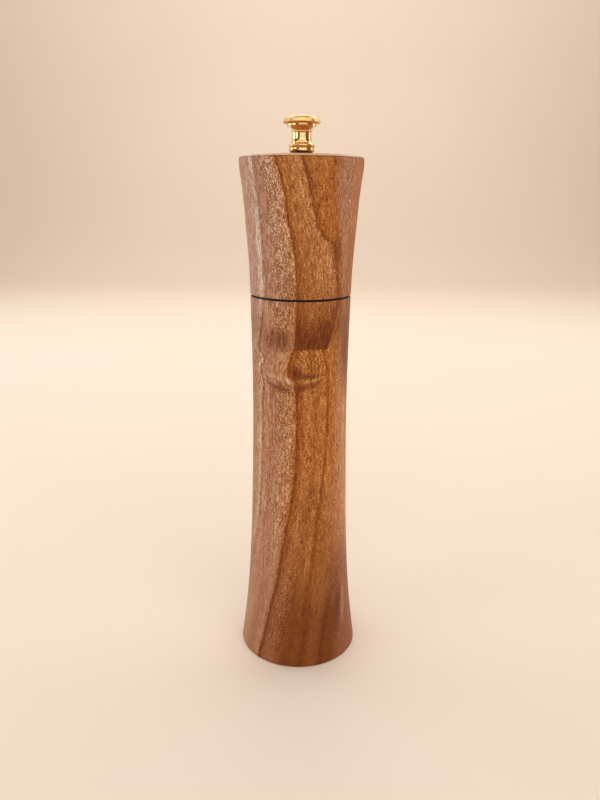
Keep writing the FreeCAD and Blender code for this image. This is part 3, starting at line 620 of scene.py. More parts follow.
class WoodBlock:
    """The block that the mill is turned from, while its layers are laid one over another.

    Attributes:
        wood: Finish that gives the sizes and colours.
        add: Adds a node to the material.
        spot: Spot in the block, in millimetres.
        depth: How far the spot lies behind the axis.
        height: Height of the spot.
        across: Distance across the block, which wavers a little.
        grain: Spot measured from the heart line, so that fibres and pores follow it.
        front: 1 on the front and 0 on the back.
        measures: What gives each measure of a zone.
        colour: Colour of the layers so far.
    """

    def __init__(self, wood: FiguredWalnut, add: AddNode, spot: bpy.types.Node) -> None:
        """Take the measures that place the layers.

        Args:
            wood: Finish that gives the sizes and colours.
            add: Adds a node to the material.
            spot: Spot in the block, in millimetres.
        """
        self.wood = wood
        self.add = add
        self.spot = spot
        side, self.depth, self.height = add("SeparateXYZ", {0: spot}).outputs
        self.across = self.waver_across(side)
        share = add("Math", {0: self.height, 1: BLOCK_HEIGHT}, operation="DIVIDE")
        lines = [line.trace(add, share) for line in wood.lines]
        lean = add("Math", {0: self.across, 1: lines[1]}, operation="SUBTRACT")
        self.grain = add("CombineXYZ", {0: lean, 1: self.depth, 2: self.height})
        self.front = add("MapRange", {"Value": self.depth, 1: wood.front_fade[0], 2: wood.front_fade[1]})
        tear = add("TexNoise", {"Vector": spot, "Scale": wood.tear_scale, "Detail": 2.0})
        level = add("CombineXYZ", {0: side, 1: self.depth})
        self.measures = {
            Measure.height: self.height,
            Measure.torn_height: add("Math", {0: tear, 1: wood.tear_reach, 2: self.height},
                                     operation="MULTIPLY_ADD"),
            Measure.place: self.place_among(lines),
            Measure.radius: add("VectorMath", {0: level}, operation="LENGTH").outputs["Value"],
            Measure.front: self.front,
        }
        self.colour: bpy.types.Node | bpy.types.NodeSocket | None = None

    def waver_across(self, side: bpy.types.NodeSocket) -> bpy.types.Node:
        """Add the distance across the block, which wavers and shifts towards the back.

        Args:
            side: Distance across from the axis.

        Returns:
            The node that gives the wavering distance.
        """
        add, wood = self.add, self.wood
        back = add("Math", {0: self.depth, 1: wood.back_start, 2: wood.back_ease}, operation="SMOOTH_MAX")
        shift = add("Math", {0: back, 1: wood.back_lean, 2: wood.back_set}, operation="MULTIPLY_ADD")
        across = add("Math", {0: side, 1: shift}, operation="ADD")
        for waves, reach in wood.wavers:
            waver = add("VectorMath", {0: self.spot, 1: waves}, operation="MULTIPLY")
            waver = add("TexNoise", {"Vector": waver, "Scale": 1.0, "Detail": 2.0, "Roughness": 0.6})
            waver = add("Math", {0: waver, 1: reach, 2: -reach / 2}, operation="MULTIPLY_ADD")
            across = add("Math", {0: across, 1: waver}, operation="ADD")
        return across

    def place_among(self, lines: list[bpy.types.Node]) -> bpy.types.Node:
        """Add the place among the four lines: -1, 0, 1 and 2 on them, and shares between.

        Args:
            lines: Distance across of the left, heart, right and shade line.

        Returns:
            The node that gives the place.
        """
        add, across = self.add, self.across
        left, heart, right, shade = lines
        before = add("MapRange", {"Value": across, 1: left, 2: heart, 3: -1, 4: 0}, clamp=False)
        between = add("MapRange", {"Value": across, 1: heart, 2: right, 3: 0, 4: 1})
        beyond = add("MapRange", {"Value": across, 1: right, 2: shade, 3: 0, 4: 1}, clamp=False)
        before = add("Math", {0: before, 1: 0}, operation="MINIMUM")
        beyond = add("Math", {0: beyond, 1: 0}, operation="MAXIMUM")
        total = add("Math", {0: before, 1: between}, operation="ADD")
        return add("Math", {0: total, 1: beyond}, operation="ADD")

    def within(self, zone: Zone) -> bpy.types.Node:
        """Add the share, up to 1, by which the wood lies inside every edge of a zone.

        Args:
            zone: The zone.

        Returns:
            The node that gives the product of its edges' shares.
        """
        total: bpy.types.Node | None = None
        for measure, none, full in zone.edges:
            share = self.add("MapRange", {"Value": self.measures[measure], 1: none, 2: full},
                             interpolation_type="SMOOTHSTEP")
            total = share if total is None else self.add("Math", {0: total, 1: share}, operation="MULTIPLY")
        return total

    def lay(self, paint: str | bpy.types.Node | bpy.types.NodeSocket, *shares: object) -> None:
        """Lay a colour over the wood so far.

        Args:
            paint: sRGB hex colour, or what gives the colour.
            *shares: Shares whose product is how much of it shows.
        """
        total, *others = shares
        for share in others:
            total = self.add("Math", {0: total, 1: share}, operation="MULTIPLY")
        over = srgb_to_linear(paint) if isinstance(paint, str) else paint
        self.colour = self.add("Mix", {0: total, 6: self.colour, 7: over}, data_type="RGBA").outputs[2]

    def lighten(self, light: bpy.types.Node, share: bpy.types.Node) -> None:
        """Lighten or darken the wood so far, paler where it is lighter and redder where it is darker.

        Args:
            light: Share by which it is lighter, or darker where below 0.
            share: How much of that shows.
        """
        light = self.add("Math", {0: share, 1: light}, operation="MULTIPLY")
        factor = self.add("VectorMath", {0: LIGHTER, "Scale": light}, operation="SCALE")
        factor = self.add("VectorMath", {0: factor, 1: (1, 1, 1)}, operation="ADD")
        self.colour = self.add("VectorMath", {0: self.colour, 1: factor}, operation="MULTIPLY").outputs[0]

    def lay_tones(self) -> None:
        """Lay the broad colour across the front, one row of tones over the next up the mill."""
        share = self.add("MapRange", {"Value": self.measures[Measure.place], 1: TONE_LOW, 2: TONE_HIGH})
        ramps = []
        for stops in self.wood.tones:
            ramp = self.add("ValToRGB", {0: share})
            elements = ramp.color_ramp.elements
            while len(elements) < len(stops):
                elements.new(0.5)
            for element, (place, code) in zip(elements, stops):
                element.position = (place - TONE_LOW) / (TONE_HIGH - TONE_LOW)
                element.color = srgb_to_linear(code)
            ramps.append(ramp)
        self.colour = ramps[0]
        for ramp, (start, full) in zip(ramps[1:], self.wood.tone_changes):
            self.lay(ramp, self.within(Zone(((Measure.height, start, full),))))

    def lay_zones(self, zones: tuple[Zone, ...], *shares: object) -> None:
        """Lay the colour of each zone, by its own strength and any other shares."""
        for zone in zones:
            self.lay(zone.colour, self.within(zone), *shares, zone.strength)

    def lay_patch(self, patch: Patch) -> None:
        """Lay one patch over the colour.

        Args:
            patch: The patch.
        """
        add = self.add
        aside = add("MapRange", {"Value": self.across, 1: patch.across, 2: patch.across + patch.width},
                    clamp=False)
        above = add("MapRange", {"Value": self.height, 1: patch.height, 2: patch.height + patch.rise},
                    clamp=False)
        reach = add("VectorMath", {0: add("CombineXYZ", {0: aside, 1: above})}, operation="LENGTH")
        share = add("MapRange", {"Value": reach.outputs["Value"], 1: 1, 2: 1 - patch.soft, 3: 0,
                                 4: patch.strength}, interpolation_type="SMOOTHSTEP")
        self.lay(patch.colour, share, self.front)

    def lay_streak(self, streak: Streak) -> None:
        """Lay one streak over the colour, soft towards its sides and its two ends.

        Args:
            streak: The streak.
        """
        add = self.add
        along = add("MapRange", {"Value": self.across, 1: streak.start[0], 2: streak.end[0]}, clamp=False)
        sag = add("Math", {0: along, 1: -0.5}, operation="ADD")
        sag = add("Math", {0: sag, 1: sag}, operation="MULTIPLY")
        sag = add("Math", {0: sag, 1: 4 * streak.bow, 2: -streak.bow}, operation="MULTIPLY_ADD")
        level = add("Math", {0: along, 1: streak.end[1] - streak.start[1], 2: streak.start[1]},
                    operation="MULTIPLY_ADD")
        level = add("Math", {0: level, 1: sag}, operation="ADD")
        off = add("Math", {0: self.height, 1: level}, operation="SUBTRACT")
        off = add("Math", {0: off}, operation="ABSOLUTE")
        reach = add("MapRange", {"Value": along, 3: streak.thickness, 4: streak.tip * streak.thickness})
        off = add("Math", {0: off, 1: reach}, operation="DIVIDE")
        share = add("MapRange", {"Value": off, 1: 1, 2: streak.core, 3: 0, 4: streak.strength},
                    interpolation_type="SMOOTHSTEP")
        ends = add("Math", {0: add("Math", {0: along, 1: 0.5}, operation="SUBTRACT")}, operation="ABSOLUTE")
        ends = add("MapRange", {"Value": ends, 1: streak.end_fade[0], 2: streak.end_fade[1]})
        self.lay(streak.colour, share, ends, self.front)

    def lay_fibres(self) -> None:
        """Lay fibres along the grain, from broad bands to hair lines, and bolder bands on the sides."""
        add, wood = self.add, self.wood
        start, full = wood.fibre_fade
        dark, pale = wood.fibre_noise
        fade = add("MapRange", {"Value": self.height, 1: start, 2: full, 3: wood.fibre_least, 4: 1.0})
        side = add("Math", {0: self.depth}, operation="ABSOLUTE")
        side = add("MapRange", {"Value": side, 1: wood.side_fade[0], 2: wood.side_fade[1]})
        bands = [(fibre, fade) for fibre in wood.fibres] + [(wood.side_band, side)]
        for (width, length, strength), share in bands:
            fibre = add("VectorMath", {0: self.grain, 1: (1 / width, 1 / width, 1 / length)},
                        operation="MULTIPLY")
            fibre = add("TexNoise", {"Vector": fibre, "Scale": 1.0, "Detail": 2.0})
            light = add("MapRange", {"Value": fibre, 1: dark, 2: pale, 3: -strength, 4: strength})
            self.lighten(light, share)

    def lay_rings(self) -> None:
        """Lay growth rings round the bud under the dark shoulder."""
        add, wood = self.add, self.wood
        narrow = Vector((1.0, 0.0, wood.ring_narrow))
        level = add("VectorMath", {0: self.spot, 1: narrow}, operation="MULTIPLY")
        reach = add("VectorMath", {0: level, 1: Vector(wood.ring_centre) * narrow}, operation="DISTANCE")
        ripple = add("TexNoise", {"Vector": self.spot, "Scale": wood.ring_waves, "Detail": 2.0})
        turn = add("Math", {0: reach.outputs["Value"], 1: math.tau / wood.ring_pitch}, operation="MULTIPLY")
        turn = add("Math", {0: ripple, 1: wood.ring_bend, 2: turn}, operation="MULTIPLY_ADD")
        wave = add("Math", {0: turn}, operation="SINE")
        light = add("MapRange", {"Value": wave, 1: -1, 2: 1, 3: wood.ring_light[0], 4: wood.ring_light[1]})
        self.lighten(light, self.within(wood.rings))

    def lay_lace(self) -> None:
        """Lay the lace of ray flecks: thin pale winding lines, most of all left of the heart line."""
        add, wood = self.add, self.wood
        pitch = (1 / wood.fleck_pitch, 1 / wood.fleck_pitch, wood.fleck_narrow / wood.fleck_pitch)
        flecks = add("VectorMath", {0: self.spot, 1: pitch}, operation="MULTIPLY")
        flecks = add("TexNoise", {"Vector": flecks, "Scale": 1.0, "Detail": 0.0,
                                  "Distortion": wood.fleck_winding})
        off = add("Math", {0: add("Math", {0: flecks, 1: -0.5}, operation="ADD")}, operation="ABSOLUTE")
        near, far = wood.fleck_edge
        light = add("MapRange", {"Value": off, 1: near, 2: far, 3: wood.fleck_light[0],
                                 4: wood.fleck_light[1]})
        share: bpy.types.Node | None = None
        for zone in wood.lace:
            part = add("Math", {0: self.within(zone), 1: zone.strength}, operation="MULTIPLY")
            share = part if share is None else add("Math", {0: share, 1: part}, operation="MAXIMUM")
        self.lighten(light, share)

    def lay_pores(self) -> bpy.types.Node:
        """Lay the open pores, short dark dashes that run with the grain and are fewer at the foot.

        Returns:
            The node that gives how open the wood is, from 0 to 1.
        """
        add, wood = self.add, self.wood
        scale = (1 / wood.pore_width, 1 / wood.pore_width, 1 / wood.pore_length)
        dashes = add("VectorMath", {0: self.grain, 1: scale}, operation="MULTIPLY")
        dashes = add("TexNoise", {"Vector": dashes, "Scale": 1.0, "Detail": 1.0})
        dashes = add("MapRange", {"Value": dashes, 1: wood.pore_noise[0], 2: wood.pore_noise[1]})
        start, full = wood.pore_fade
        fewer = add("MapRange", {"Value": self.height, 1: start, 2: full, 3: wood.pore_least, 4: 1.0})
        pores = add("Math", {0: dashes, 1: fewer}, operation="MULTIPLY")
        dark = add("Mix", {0: 1.0, 6: self.colour, 7: srgb_to_linear(wood.pore_tint)},
                   data_type="RGBA", blend_type="MULTIPLY")
        self.lay(dark.outputs[2], pores)
        return pores

    def skin(self) -> bpy.types.Node:
        """Lay every layer, and finish the wood with oil and a buffed rim.

        Returns:
            The shader.
        """
        add, wood = self.add, self.wood
        self.lay_tones()
        self.lay_zones(wood.shoulder, self.front)
        for patch in wood.patches:
            self.lay_patch(patch)
        for streak in wood.streaks:
            self.lay_streak(streak)
        self.lay_fibres()
        self.lay_rings()
        self.lay_lace()
        pores = self.lay_pores()
        # The rim's painted highlight and the painted shade under it.
        self.lay_zones(wood.rim)
        rough = add("MapRange", {"Value": pores, 3: wood.roughness, 4: wood.roughness + wood.pore_roughness})
        start, full = wood.buffed_rim
        buffed = add("MapRange", {"Value": self.height, 1: start, 2: full, 3: 1.0, 4: wood.buffed})
        rough = add("Math", {0: rough, 1: buffed}, operation="MULTIPLY")
        bump = add("Bump", {"Strength": wood.pore_bump, "Distance": wood.pore_depth * MM, "Height": pores},
                   invert=True)
        return add("BsdfPrincipled", {"Base Color": self.colour, "Roughness": rough, "Normal": bump,
                                      "IOR": wood.ior, "Specular IOR Level": wood.gloss})


# ---- other finishes ----------------------------------------------------------------


@dataclass(frozen=True)
class TurnedMetal(Surface):
    """Bar metal, turned and polished or left as drawn.

    The eye gets one metal colour, highlights drawn out round the turning by marks that run
    round the axis, and a cloudy change of gloss where fingers have been.
    """

    colour: str
    dull_colour: str
    roughness: float
    mark_pitch: float              # between turning marks
    mark_depth: float              # of the bump, in millimetres
    drawn: float = 1.0             # how many times longer than wide its clouds are, along the bar
    mark_bump: float = 0.2
    cloud_scale: float = 0.35      # clouds in a millimetre
    dull_noise: Span = (0.45, 0.75)  # from bright to dull
    rough_noise: Span = (0.35, 0.7)  # from smooth to rough
    dulled: float = 1.6            # how many times rougher the dull clouds are

    def skin(self, add: AddNode, spot: bpy.types.Node) -> bpy.types.Node:
        """Add the metal's shader.

        Args:
            add: Adds a node to the material.
            spot: Spot on the piece, in millimetres.

        Returns:
            The shader.
        """
        side, depth, height = add("SeparateXYZ", {0: spot}).outputs
        level = add("CombineXYZ", {0: side, 1: depth})
        radius = add("VectorMath", {0: level}, operation="LENGTH").outputs["Value"]
        way = add("CombineXYZ", {0: radius, 2: height})
        marks = add("TexNoise", {"Vector": way, "Scale": 1 / self.mark_pitch, "Detail": 2.0})
        cloud = add("VectorMath", {0: spot, 1: (1, 1, 1 / self.drawn)}, operation="MULTIPLY")
        cloud = add("TexNoise", {"Vector": cloud, "Scale": self.cloud_scale, "Detail": 3.0})
        dull = add("MapRange", {"Value": cloud, 1: self.dull_noise[0], 2: self.dull_noise[1]})
        colour = add("Mix", {0: dull, 6: srgb_to_linear(self.colour), 7: srgb_to_linear(self.dull_colour)},
                     data_type="RGBA").outputs[2]
        low, high = self.rough_noise
        rough = add("MapRange", {"Value": cloud, 1: low, 2: high, 3: self.roughness,
                                 4: self.roughness * self.dulled})
        bump = add("Bump", {"Strength": self.mark_bump, "Distance": self.mark_depth * MM, "Height": marks})
        return add("BsdfPrincipled", {"Base Color": colour, "Metallic": 1.0, "Roughness": rough,
                                      "Normal": bump})


@dataclass(frozen=True)
class MouldedNylon(Surface):
    """Nylon, moulded or stamped, with a fine matt grain.

    The eye gets an even colour, a soft broad highlight and a faint eggshell texture.
    """

    colour: str
    shade_colour: str
    roughness: float
    grain: float = 0.3             # size of the texture's bumps
    grain_depth: float = 0.02
    grain_bump: float = 0.15
    cloud_scale: float = 0.2       # clouds in a millimetre
    ior: float = 1.53
    gloss: float = 0.3

    def skin(self, add: AddNode, spot: bpy.types.Node) -> bpy.types.Node:
        """Add the nylon's shader.

        Args:
            add: Adds a node to the material.
            spot: Spot on the piece, in millimetres.

        Returns:
            The shader.
        """
        texture = add("TexNoise", {"Vector": spot, "Scale": 1 / self.grain, "Detail": 2.0})
        cloud = add("TexNoise", {"Vector": spot, "Scale": self.cloud_scale, "Detail": 2.0})
        colour = add("Mix", {0: cloud, 6: srgb_to_linear(self.colour), 7: srgb_to_linear(self.shade_colour)},
                     data_type="RGBA").outputs[2]
        bump = add("Bump", {"Strength": self.grain_bump, "Distance": self.grain_depth * MM,
                            "Height": texture})
        return add("BsdfPrincipled", {"Base Color": colour, "Roughness": self.roughness, "Normal": bump,
                                      "IOR": self.ior, "Specular IOR Level": self.gloss})


@dataclass(frozen=True)
class MattLaminate(Surface):
    """Cream laminate of the studio's floor.

    The eye gets one pale matt colour with a faint cloudiness.
    """

    colour: str
    light_colour: str
    roughness: float = 0.55
    cloud_scale: float = 0.003     # clouds in a millimetre

    def skin(self, add: AddNode, spot: bpy.types.Node) -> bpy.types.Node:
        """Add the laminate's shader.

        Args:
            add: Adds a node to the material.
            spot: Spot on the floor, in millimetres.

        Returns:
            The shader.
        """
        cloud = add("TexNoise", {"Vector": spot, "Scale": self.cloud_scale, "Detail": 2.0})
        colour = add("Mix", {0: cloud, 6: srgb_to_linear(self.colour), 7: srgb_to_linear(self.light_colour)},
                     data_type="RGBA").outputs[2]
        return add("BsdfPrincipled", {"Base Color": colour, "Roughness": self.roughness})


class Finish(Enum):
    """The finishes of the mill. All but the wood's are named for the frame's slots."""

    polished_brass = TurnedMetal("polished_brass", "#FAD595", "#EFC27C", 0.14, 0.18, 0.006)
    bush_brass = TurnedMetal("turned_bush_brass", "#D1A24E", "#B07F36", 0.3, 0.25, 0.02)
    plated_steel = TurnedMetal("zinc_plated_steel", "#B9BABB", "#8F8E8A", 0.32, 0.9, 0.01)
    screw_steel = TurnedMetal("nickel_plated_screw", "#BDBBB6", "#94908A", 0.25, 0.3, 0.01)
    shaft_aluminium = TurnedMetal("drawn_aluminium", "#C9CACC", "#B2B3B6", 0.35, 0.2, 0.02, 30.0)
    spring_steel = TurnedMetal("spring_wire", "#8E8F92", "#6B6B6C", 0.3, 0.3, 0.01)
    burr_steel = TurnedMetal("hardened_burr_steel", "#77787A", "#57565A", 0.38, 0.25, 0.03)
    # Its near-black is black nylon tinted red as a painted reflection of the walnut's light.
    black_nylon = MouldedNylon("black_nylon", "#100200", "#160402", 0.7)
    white_nylon = MouldedNylon("natural_nylon", "#E6E1D3", "#D8D1C0", 0.45)
    walnut = FiguredWalnut("oiled_walnut")


MADE: dict[Finish, bpy.types.Material] = {}  # materials built so far


def complete(piece: bpy.types.Object, node: str, finish: Finish, crisp_angle: float) -> bpy.types.Object:
    """Smooth and dress a piece, and put it in the place of a node of the frame.

    Args:
        piece: The piece.
        node: Node whose body it takes, and which is hidden.
        finish: Its finish all over, whose material is built the first time.
        crisp_angle: Angle in degrees past which an edge stays crisp.

    Returns:
        The piece.
    """
    smooth_edges(piece, crisp_angle)
    if finish not in MADE:
        MADE[finish] = finish.value.material()
    piece.data.materials.clear()
    piece.data.materials.append(MADE[finish])
    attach(piece, BODY_OF[node])
    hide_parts(node)
    return piece


# ---- turned wood -------------------------------------------------------------------

WOOD_STEPS = 192                   # in a full turn of the wood
WOOD_RISE = 3.0                    # between two points up its sides
WOOD_CRISP = 32.0                  # edges sharper than this many degrees stay crisp
MEETING_RING = 18.5                # ring of points where the head meets the body


@dataclass
class MillBody:
    """Hollow body of the mill, turned with a hollow waist and a flared foot."""

    gauges: Outline = field(default_factory=lambda: [
        (30.783, 0.8), (28.431, 20), (25.731, 55), (24.331, 95), (23.681, 140), (24.431, 189.2)])
    bore_radius: float = 13.481
    bore_middle: float = 100.0
    recess_radius: float = 21.083
    recess_depth: float = 14.0
    foot_ring: float = 26.0
    foot_edge: float = 0.8
    foot_bow: float = 0.2343
    edge_break: float = 0.3

    def outline(self) -> Outline:
        """Draw the body's closed outline.

        Returns:
            Its points, from the recess round the outside and down the bore.
        """
        foot_radius = self.gauges[0][0]
        neck_radius, neck_height = self.gauges[-1]
        top = neck_height + self.edge_break
        foot_inside = (foot_radius - self.foot_edge, 0.0)
        points: Outline = [(self.recess_radius, 0.0), (self.foot_ring, 0.0), foot_inside]
        points += bow_between(foot_inside, (foot_radius, self.foot_edge), self.foot_bow, steps=6)[:-1]
        points += smooth_through(self.gauges, WOOD_RISE)
        points += [(neck_radius - self.edge_break, top), (MEETING_RING, top), (self.bore_radius, top)]
        points += [(self.bore_radius, self.bore_middle), (self.bore_radius, self.recess_depth)]
        points += [(self.recess_radius, self.recess_depth), (self.recess_radius, 0.0)]
        return points

    def build(self) -> bpy.types.Object:
        """Spin the body and put it in its place."""
        piece = spin_outline("walnut_body", self.outline(), WOOD_STEPS)
        return complete(piece, "body", Finish.walnut, WOOD_CRISP)


@dataclass
class MillHead:
    """Flared head of the mill, with a tenon that turns in the mouth of the body."""

    gauges: Outline = field(default_factory=lambda: [
        (24.431, 190.8), (24.981, 205), (26.231, 222), (27.581, 238), (29.031, 249)])
    foot: float = 190.5
    edge_break: float = 0.3
    rim_band: float = 3.0
    rim_round: float = 1.4
    rim_bow: float = 0.2929        # for each millimetre of its round
    crown_rise: float = 1.2
    crown_bow: float = 0.2
    crown_land: float = 6.5
    shaft_hole: float = 4.002
    tenon_radius: float = 13.181
    tenon_foot: float = 178.4
    tenon_lead: float = 0.6

    def outline(self) -> Outline:
        """Draw the head's closed outline.

        Returns:
            Its points, from the shaft's hole down the tenon and up the outside.
        """
        neck_radius = self.gauges[0][0]
        rim_radius, rim_foot = self.gauges[-1]
        rim_edge = rim_foot + self.rim_band
        crown_edge = (rim_radius - self.rim_round, rim_edge + self.rim_round)
        top = crown_edge[1] + self.crown_rise
        land = (self.crown_land, top)
        points: Outline = [(self.shaft_hole, top), (self.shaft_hole, self.tenon_foot)]
        points += [(self.tenon_radius - self.tenon_lead, self.tenon_foot)]
        points += [(self.tenon_radius, self.tenon_foot + self.tenon_lead), (self.tenon_radius, self.foot)]
        points += [(MEETING_RING, self.foot), (neck_radius - self.edge_break, self.foot)]
        points += smooth_through(self.gauges, WOOD_RISE)
        points += [(rim_radius, rim_foot + self.rim_band / 2), (rim_radius, rim_edge)]
        points += bow_between((rim_radius, rim_edge), crown_edge, self.rim_bow * self.rim_round, steps=10)
        points += bow_between(crown_edge, land, self.crown_bow, steps=8)
        points += [(self.shaft_hole, top)]
        return points

    def build(self) -> bpy.types.Object:
        """Spin the head and put it in its place."""
        piece = spin_outline("walnut_head", self.outline(), WOOD_STEPS)
        return complete(piece, "head", Finish.walnut, WOOD_CRISP)


# ---- finial ------------------------------------------------------------------------


@dataclass
class FinialNut:
    """Turned brass nut on top, with a knurled disc and a spigot that enters the head."""

    foot: float = 255.5
    spigot_length: float = 3.0
    spigot_radius: float = 3.702
    bore_radius: float = 2.53
    bore_top: float = 267.5
    foot_radius: float = 5.9
    foot_edge: float = 0.5
    foot_bow: float = -0.2         # a bow below 0 is a hollow
    bead_foot: float = 257.8
    bead_top: float = 258.6
    bead_bow: float = 0.13
    neck_radius: float = 4.45
    neck_foot: float = 262.0
    neck_top: float = 264.3
    neck_bow: float = -0.47
    throat_radius: float = 6.2
    throat_height: float = 266.4
    throat_bow: float = -0.35
    band_radius: float = 6.8
    band_top: float = 267.4
    disc_radius: float = 8.8
    disc_edge: float = 268.2
    lip_reach: float = 1.2
    knurl_top: float = 269.6
    knurl_lean: float = 0.9
    knurl_teeth: int = 56
    knurl_depth: float = 0.28
    knurl_ends: Span = (0.14, 0.86)  # shares of its way up
    shoulder_width: float = 1.6
    shoulder_bow: float = 0.18
    dome_edge: float = 270.8
    dome_top: float = 271.4
    corner: float = 0.14           # round on the turned corners
    crisp_angle: float = 30.0

    def outline(self) -> Outline:
        """Draw the nut's outline.

        Returns:
            Its points, from the top of the bore down, round the foot and up to the top on the axis.
        """
        spigot_foot = self.foot - self.spigot_length
        foot_edge = (self.foot_radius, self.foot + self.foot_edge)
        bead_foot = (self.foot_radius, self.bead_foot)
        bead_top = (self.foot_radius, self.bead_top)
        neck_foot = (self.neck_radius, self.neck_foot)
        neck_top = (self.neck_radius, self.neck_top)
        throat = (self.throat_radius, self.throat_height)
        band_foot = (self.band_radius, self.throat_height)
        band_top = (self.band_radius, self.band_top)
        lip = (self.disc_radius - self.lip_reach, self.band_top)
        edge = (self.disc_radius, self.disc_edge)
        knurl_top = (self.disc_radius - self.knurl_lean, self.knurl_top)
        dome_edge = (knurl_top[0] - self.shoulder_width, self.dome_edge)
        dome_top = (0.0, self.dome_top)
        dome_rise = self.dome_top - self.dome_edge
        dome_sphere = (dome_edge[0] ** 2 + dome_rise ** 2) / (2 * dome_rise)
        dome_bow = dome_sphere - math.sqrt(dome_sphere ** 2 - (math.dist(dome_edge, dome_top) / 2) ** 2)
        points: Outline = [(0.0, self.bore_top), (self.bore_radius, self.bore_top)]
        points += [(self.bore_radius, spigot_foot), (self.spigot_radius, spigot_foot)]
        points += [(self.spigot_radius, self.foot), (self.foot_radius - self.foot_edge, self.foot), foot_edge]
        points += bow_between(foot_edge, bead_foot, self.foot_bow, steps=8)
        points += bow_between(bead_foot, bead_top, self.bead_bow, steps=6)
        points += bow_between(bead_top, neck_foot, self.neck_bow, steps=12)
        points += [(self.neck_radius, (self.neck_foot + self.neck_top) / 2), neck_top]
        points += bow_between(neck_top, throat, self.throat_bow, steps=10)
        points += round_corner(throat, band_foot, band_top, self.corner)
        points += [band_top, lip]
        points += round_corner(lip, edge, knurl_top, self.corner)
        points += [(edge[0] + (knurl_top[0] - edge[0]) * share, edge[1] + (knurl_top[1] - edge[1]) * share)
                   for share in self.knurl_ends]
        points += round_corner(edge, knurl_top, dome_edge, self.corner)
        points += bow_between(knurl_top, dome_edge, self.shoulder_bow, steps=8)[1:]
        points += bow_between(dome_edge, dome_top, dome_bow, steps=10)
        return points

    def in_groove(self, spot: Vector) -> bool:
        """Say whether a point lies in a groove of the knurl.

        Args:
            spot: Place of the point, in metres.

        Returns:
            True on the leaning side of the disc, at every fourth step of the turning.
        """
        column = round(math.atan2(spot.y, spot.x) / math.tau * 4 * self.knurl_teeth)
        on_side = self.disc_edge - self.corner < spot.z / MM < self.knurl_top + self.corner
        return on_side and column % 4 == 0

    def build(self) -> bpy.types.Object:
        """Spin the nut, press the grooves of its knurl and put it in its place.

        Returns:
            The nut.
        """
        piece = spin_outline("brass_finial", self.outline(), 4 * self.knurl_teeth)
        take_hold(piece)
        mark_points(piece, self.in_groove)
        factor = 1 - self.knurl_depth / (self.disc_radius - self.knurl_lean / 2)
        bpy.ops.transform.resize(value=(factor, factor, 1), center_override=AXIS_FOOT)
        bpy.ops.object.mode_set(mode="OBJECT")
        return complete(piece, "finial_nut", Finish.polished_brass, self.crisp_angle)


# ---- mechanism ---------------------------------------------------------------------


@dataclass
class SpringCoil:
    """Coil spring between the bridge and the rotor, ground flat at both ends."""

    foot: float = 23.5
    top: float = 31.4
    mean_radius: float = 4.902
    wire: float = 0.9
    turns: float = 4.6
    wire_sides: int = 16
    turn_steps: int = 48
    grinding_reach: float = 0.0001
    crisp_angle: float = 40.0
    travel: float = 1.0            # of the rotor, by which the spring shortens

    def wind(self) -> bpy.types.Object:
        """Wind the wire, with its two ends left round.

        Returns:
            The coil, in edit mode.
        """
        clear_selection()
        bpy.ops.mesh.primitive_circle_add(
            vertices=self.wire_sides, radius=self.wire / 2 * MM, fill_type="NOTHING",
            location=(self.mean_radius * MM, 0, self.foot * MM), rotation=(math.pi / 2, 0, 0))
        piece = bpy.context.object
        piece.name = piece.data.name = "spring_coil"
        bpy.ops.object.transform_apply(location=True, rotation=True, scale=True)
        winding = piece.modifiers.new("winding", "SCREW")
        winding.axis = "Z"
        winding.angle = math.tau * self.turns
        winding.screw_offset = (self.top - self.foot) * MM
        winding.steps = winding.render_steps = round(self.turn_steps * self.turns)
        winding.iterations = 1
        bpy.ops.object.modifier_apply(modifier=winding.name)
        bpy.ops.object.mode_set(mode="EDIT")
        bpy.ops.mesh.select_all(action="SELECT")
        bpy.ops.mesh.remove_doubles(threshold=MERGE_REACH)
        bpy.ops.mesh.select_all(action="DESELECT")
        bpy.ops.mesh.select_non_manifold()
        bpy.ops.mesh.edge_face_add()
        return piece

    def build(self) -> bpy.types.Object:
        """Wind the coil, grind its ends and put it in its place.

        Returns:
            The spring.
        """
        piece = self.wind()
        for height, inner in ((self.foot, True), (self.top, False)):
            bpy.ops.mesh.select_all(action="SELECT")
            bpy.ops.mesh.bisect(plane_co=(0, 0, height * MM), plane_no=(0, 0, 1), use_fill=True,
                                clear_inner=inner, clear_outer=not inner,
                                threshold=self.grinding_reach * MM)
        bpy.ops.mesh.select_all(action="SELECT")
        bpy.ops.mesh.remove_doubles(threshold=MERGE_REACH)
        bpy.ops.mesh.normals_make_consistent(inside=False)
        bpy.ops.object.mode_set(mode="OBJECT")
        complete(piece, "spring", Finish.spring_steel, self.crisp_angle)
        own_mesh(piece)
        return piece


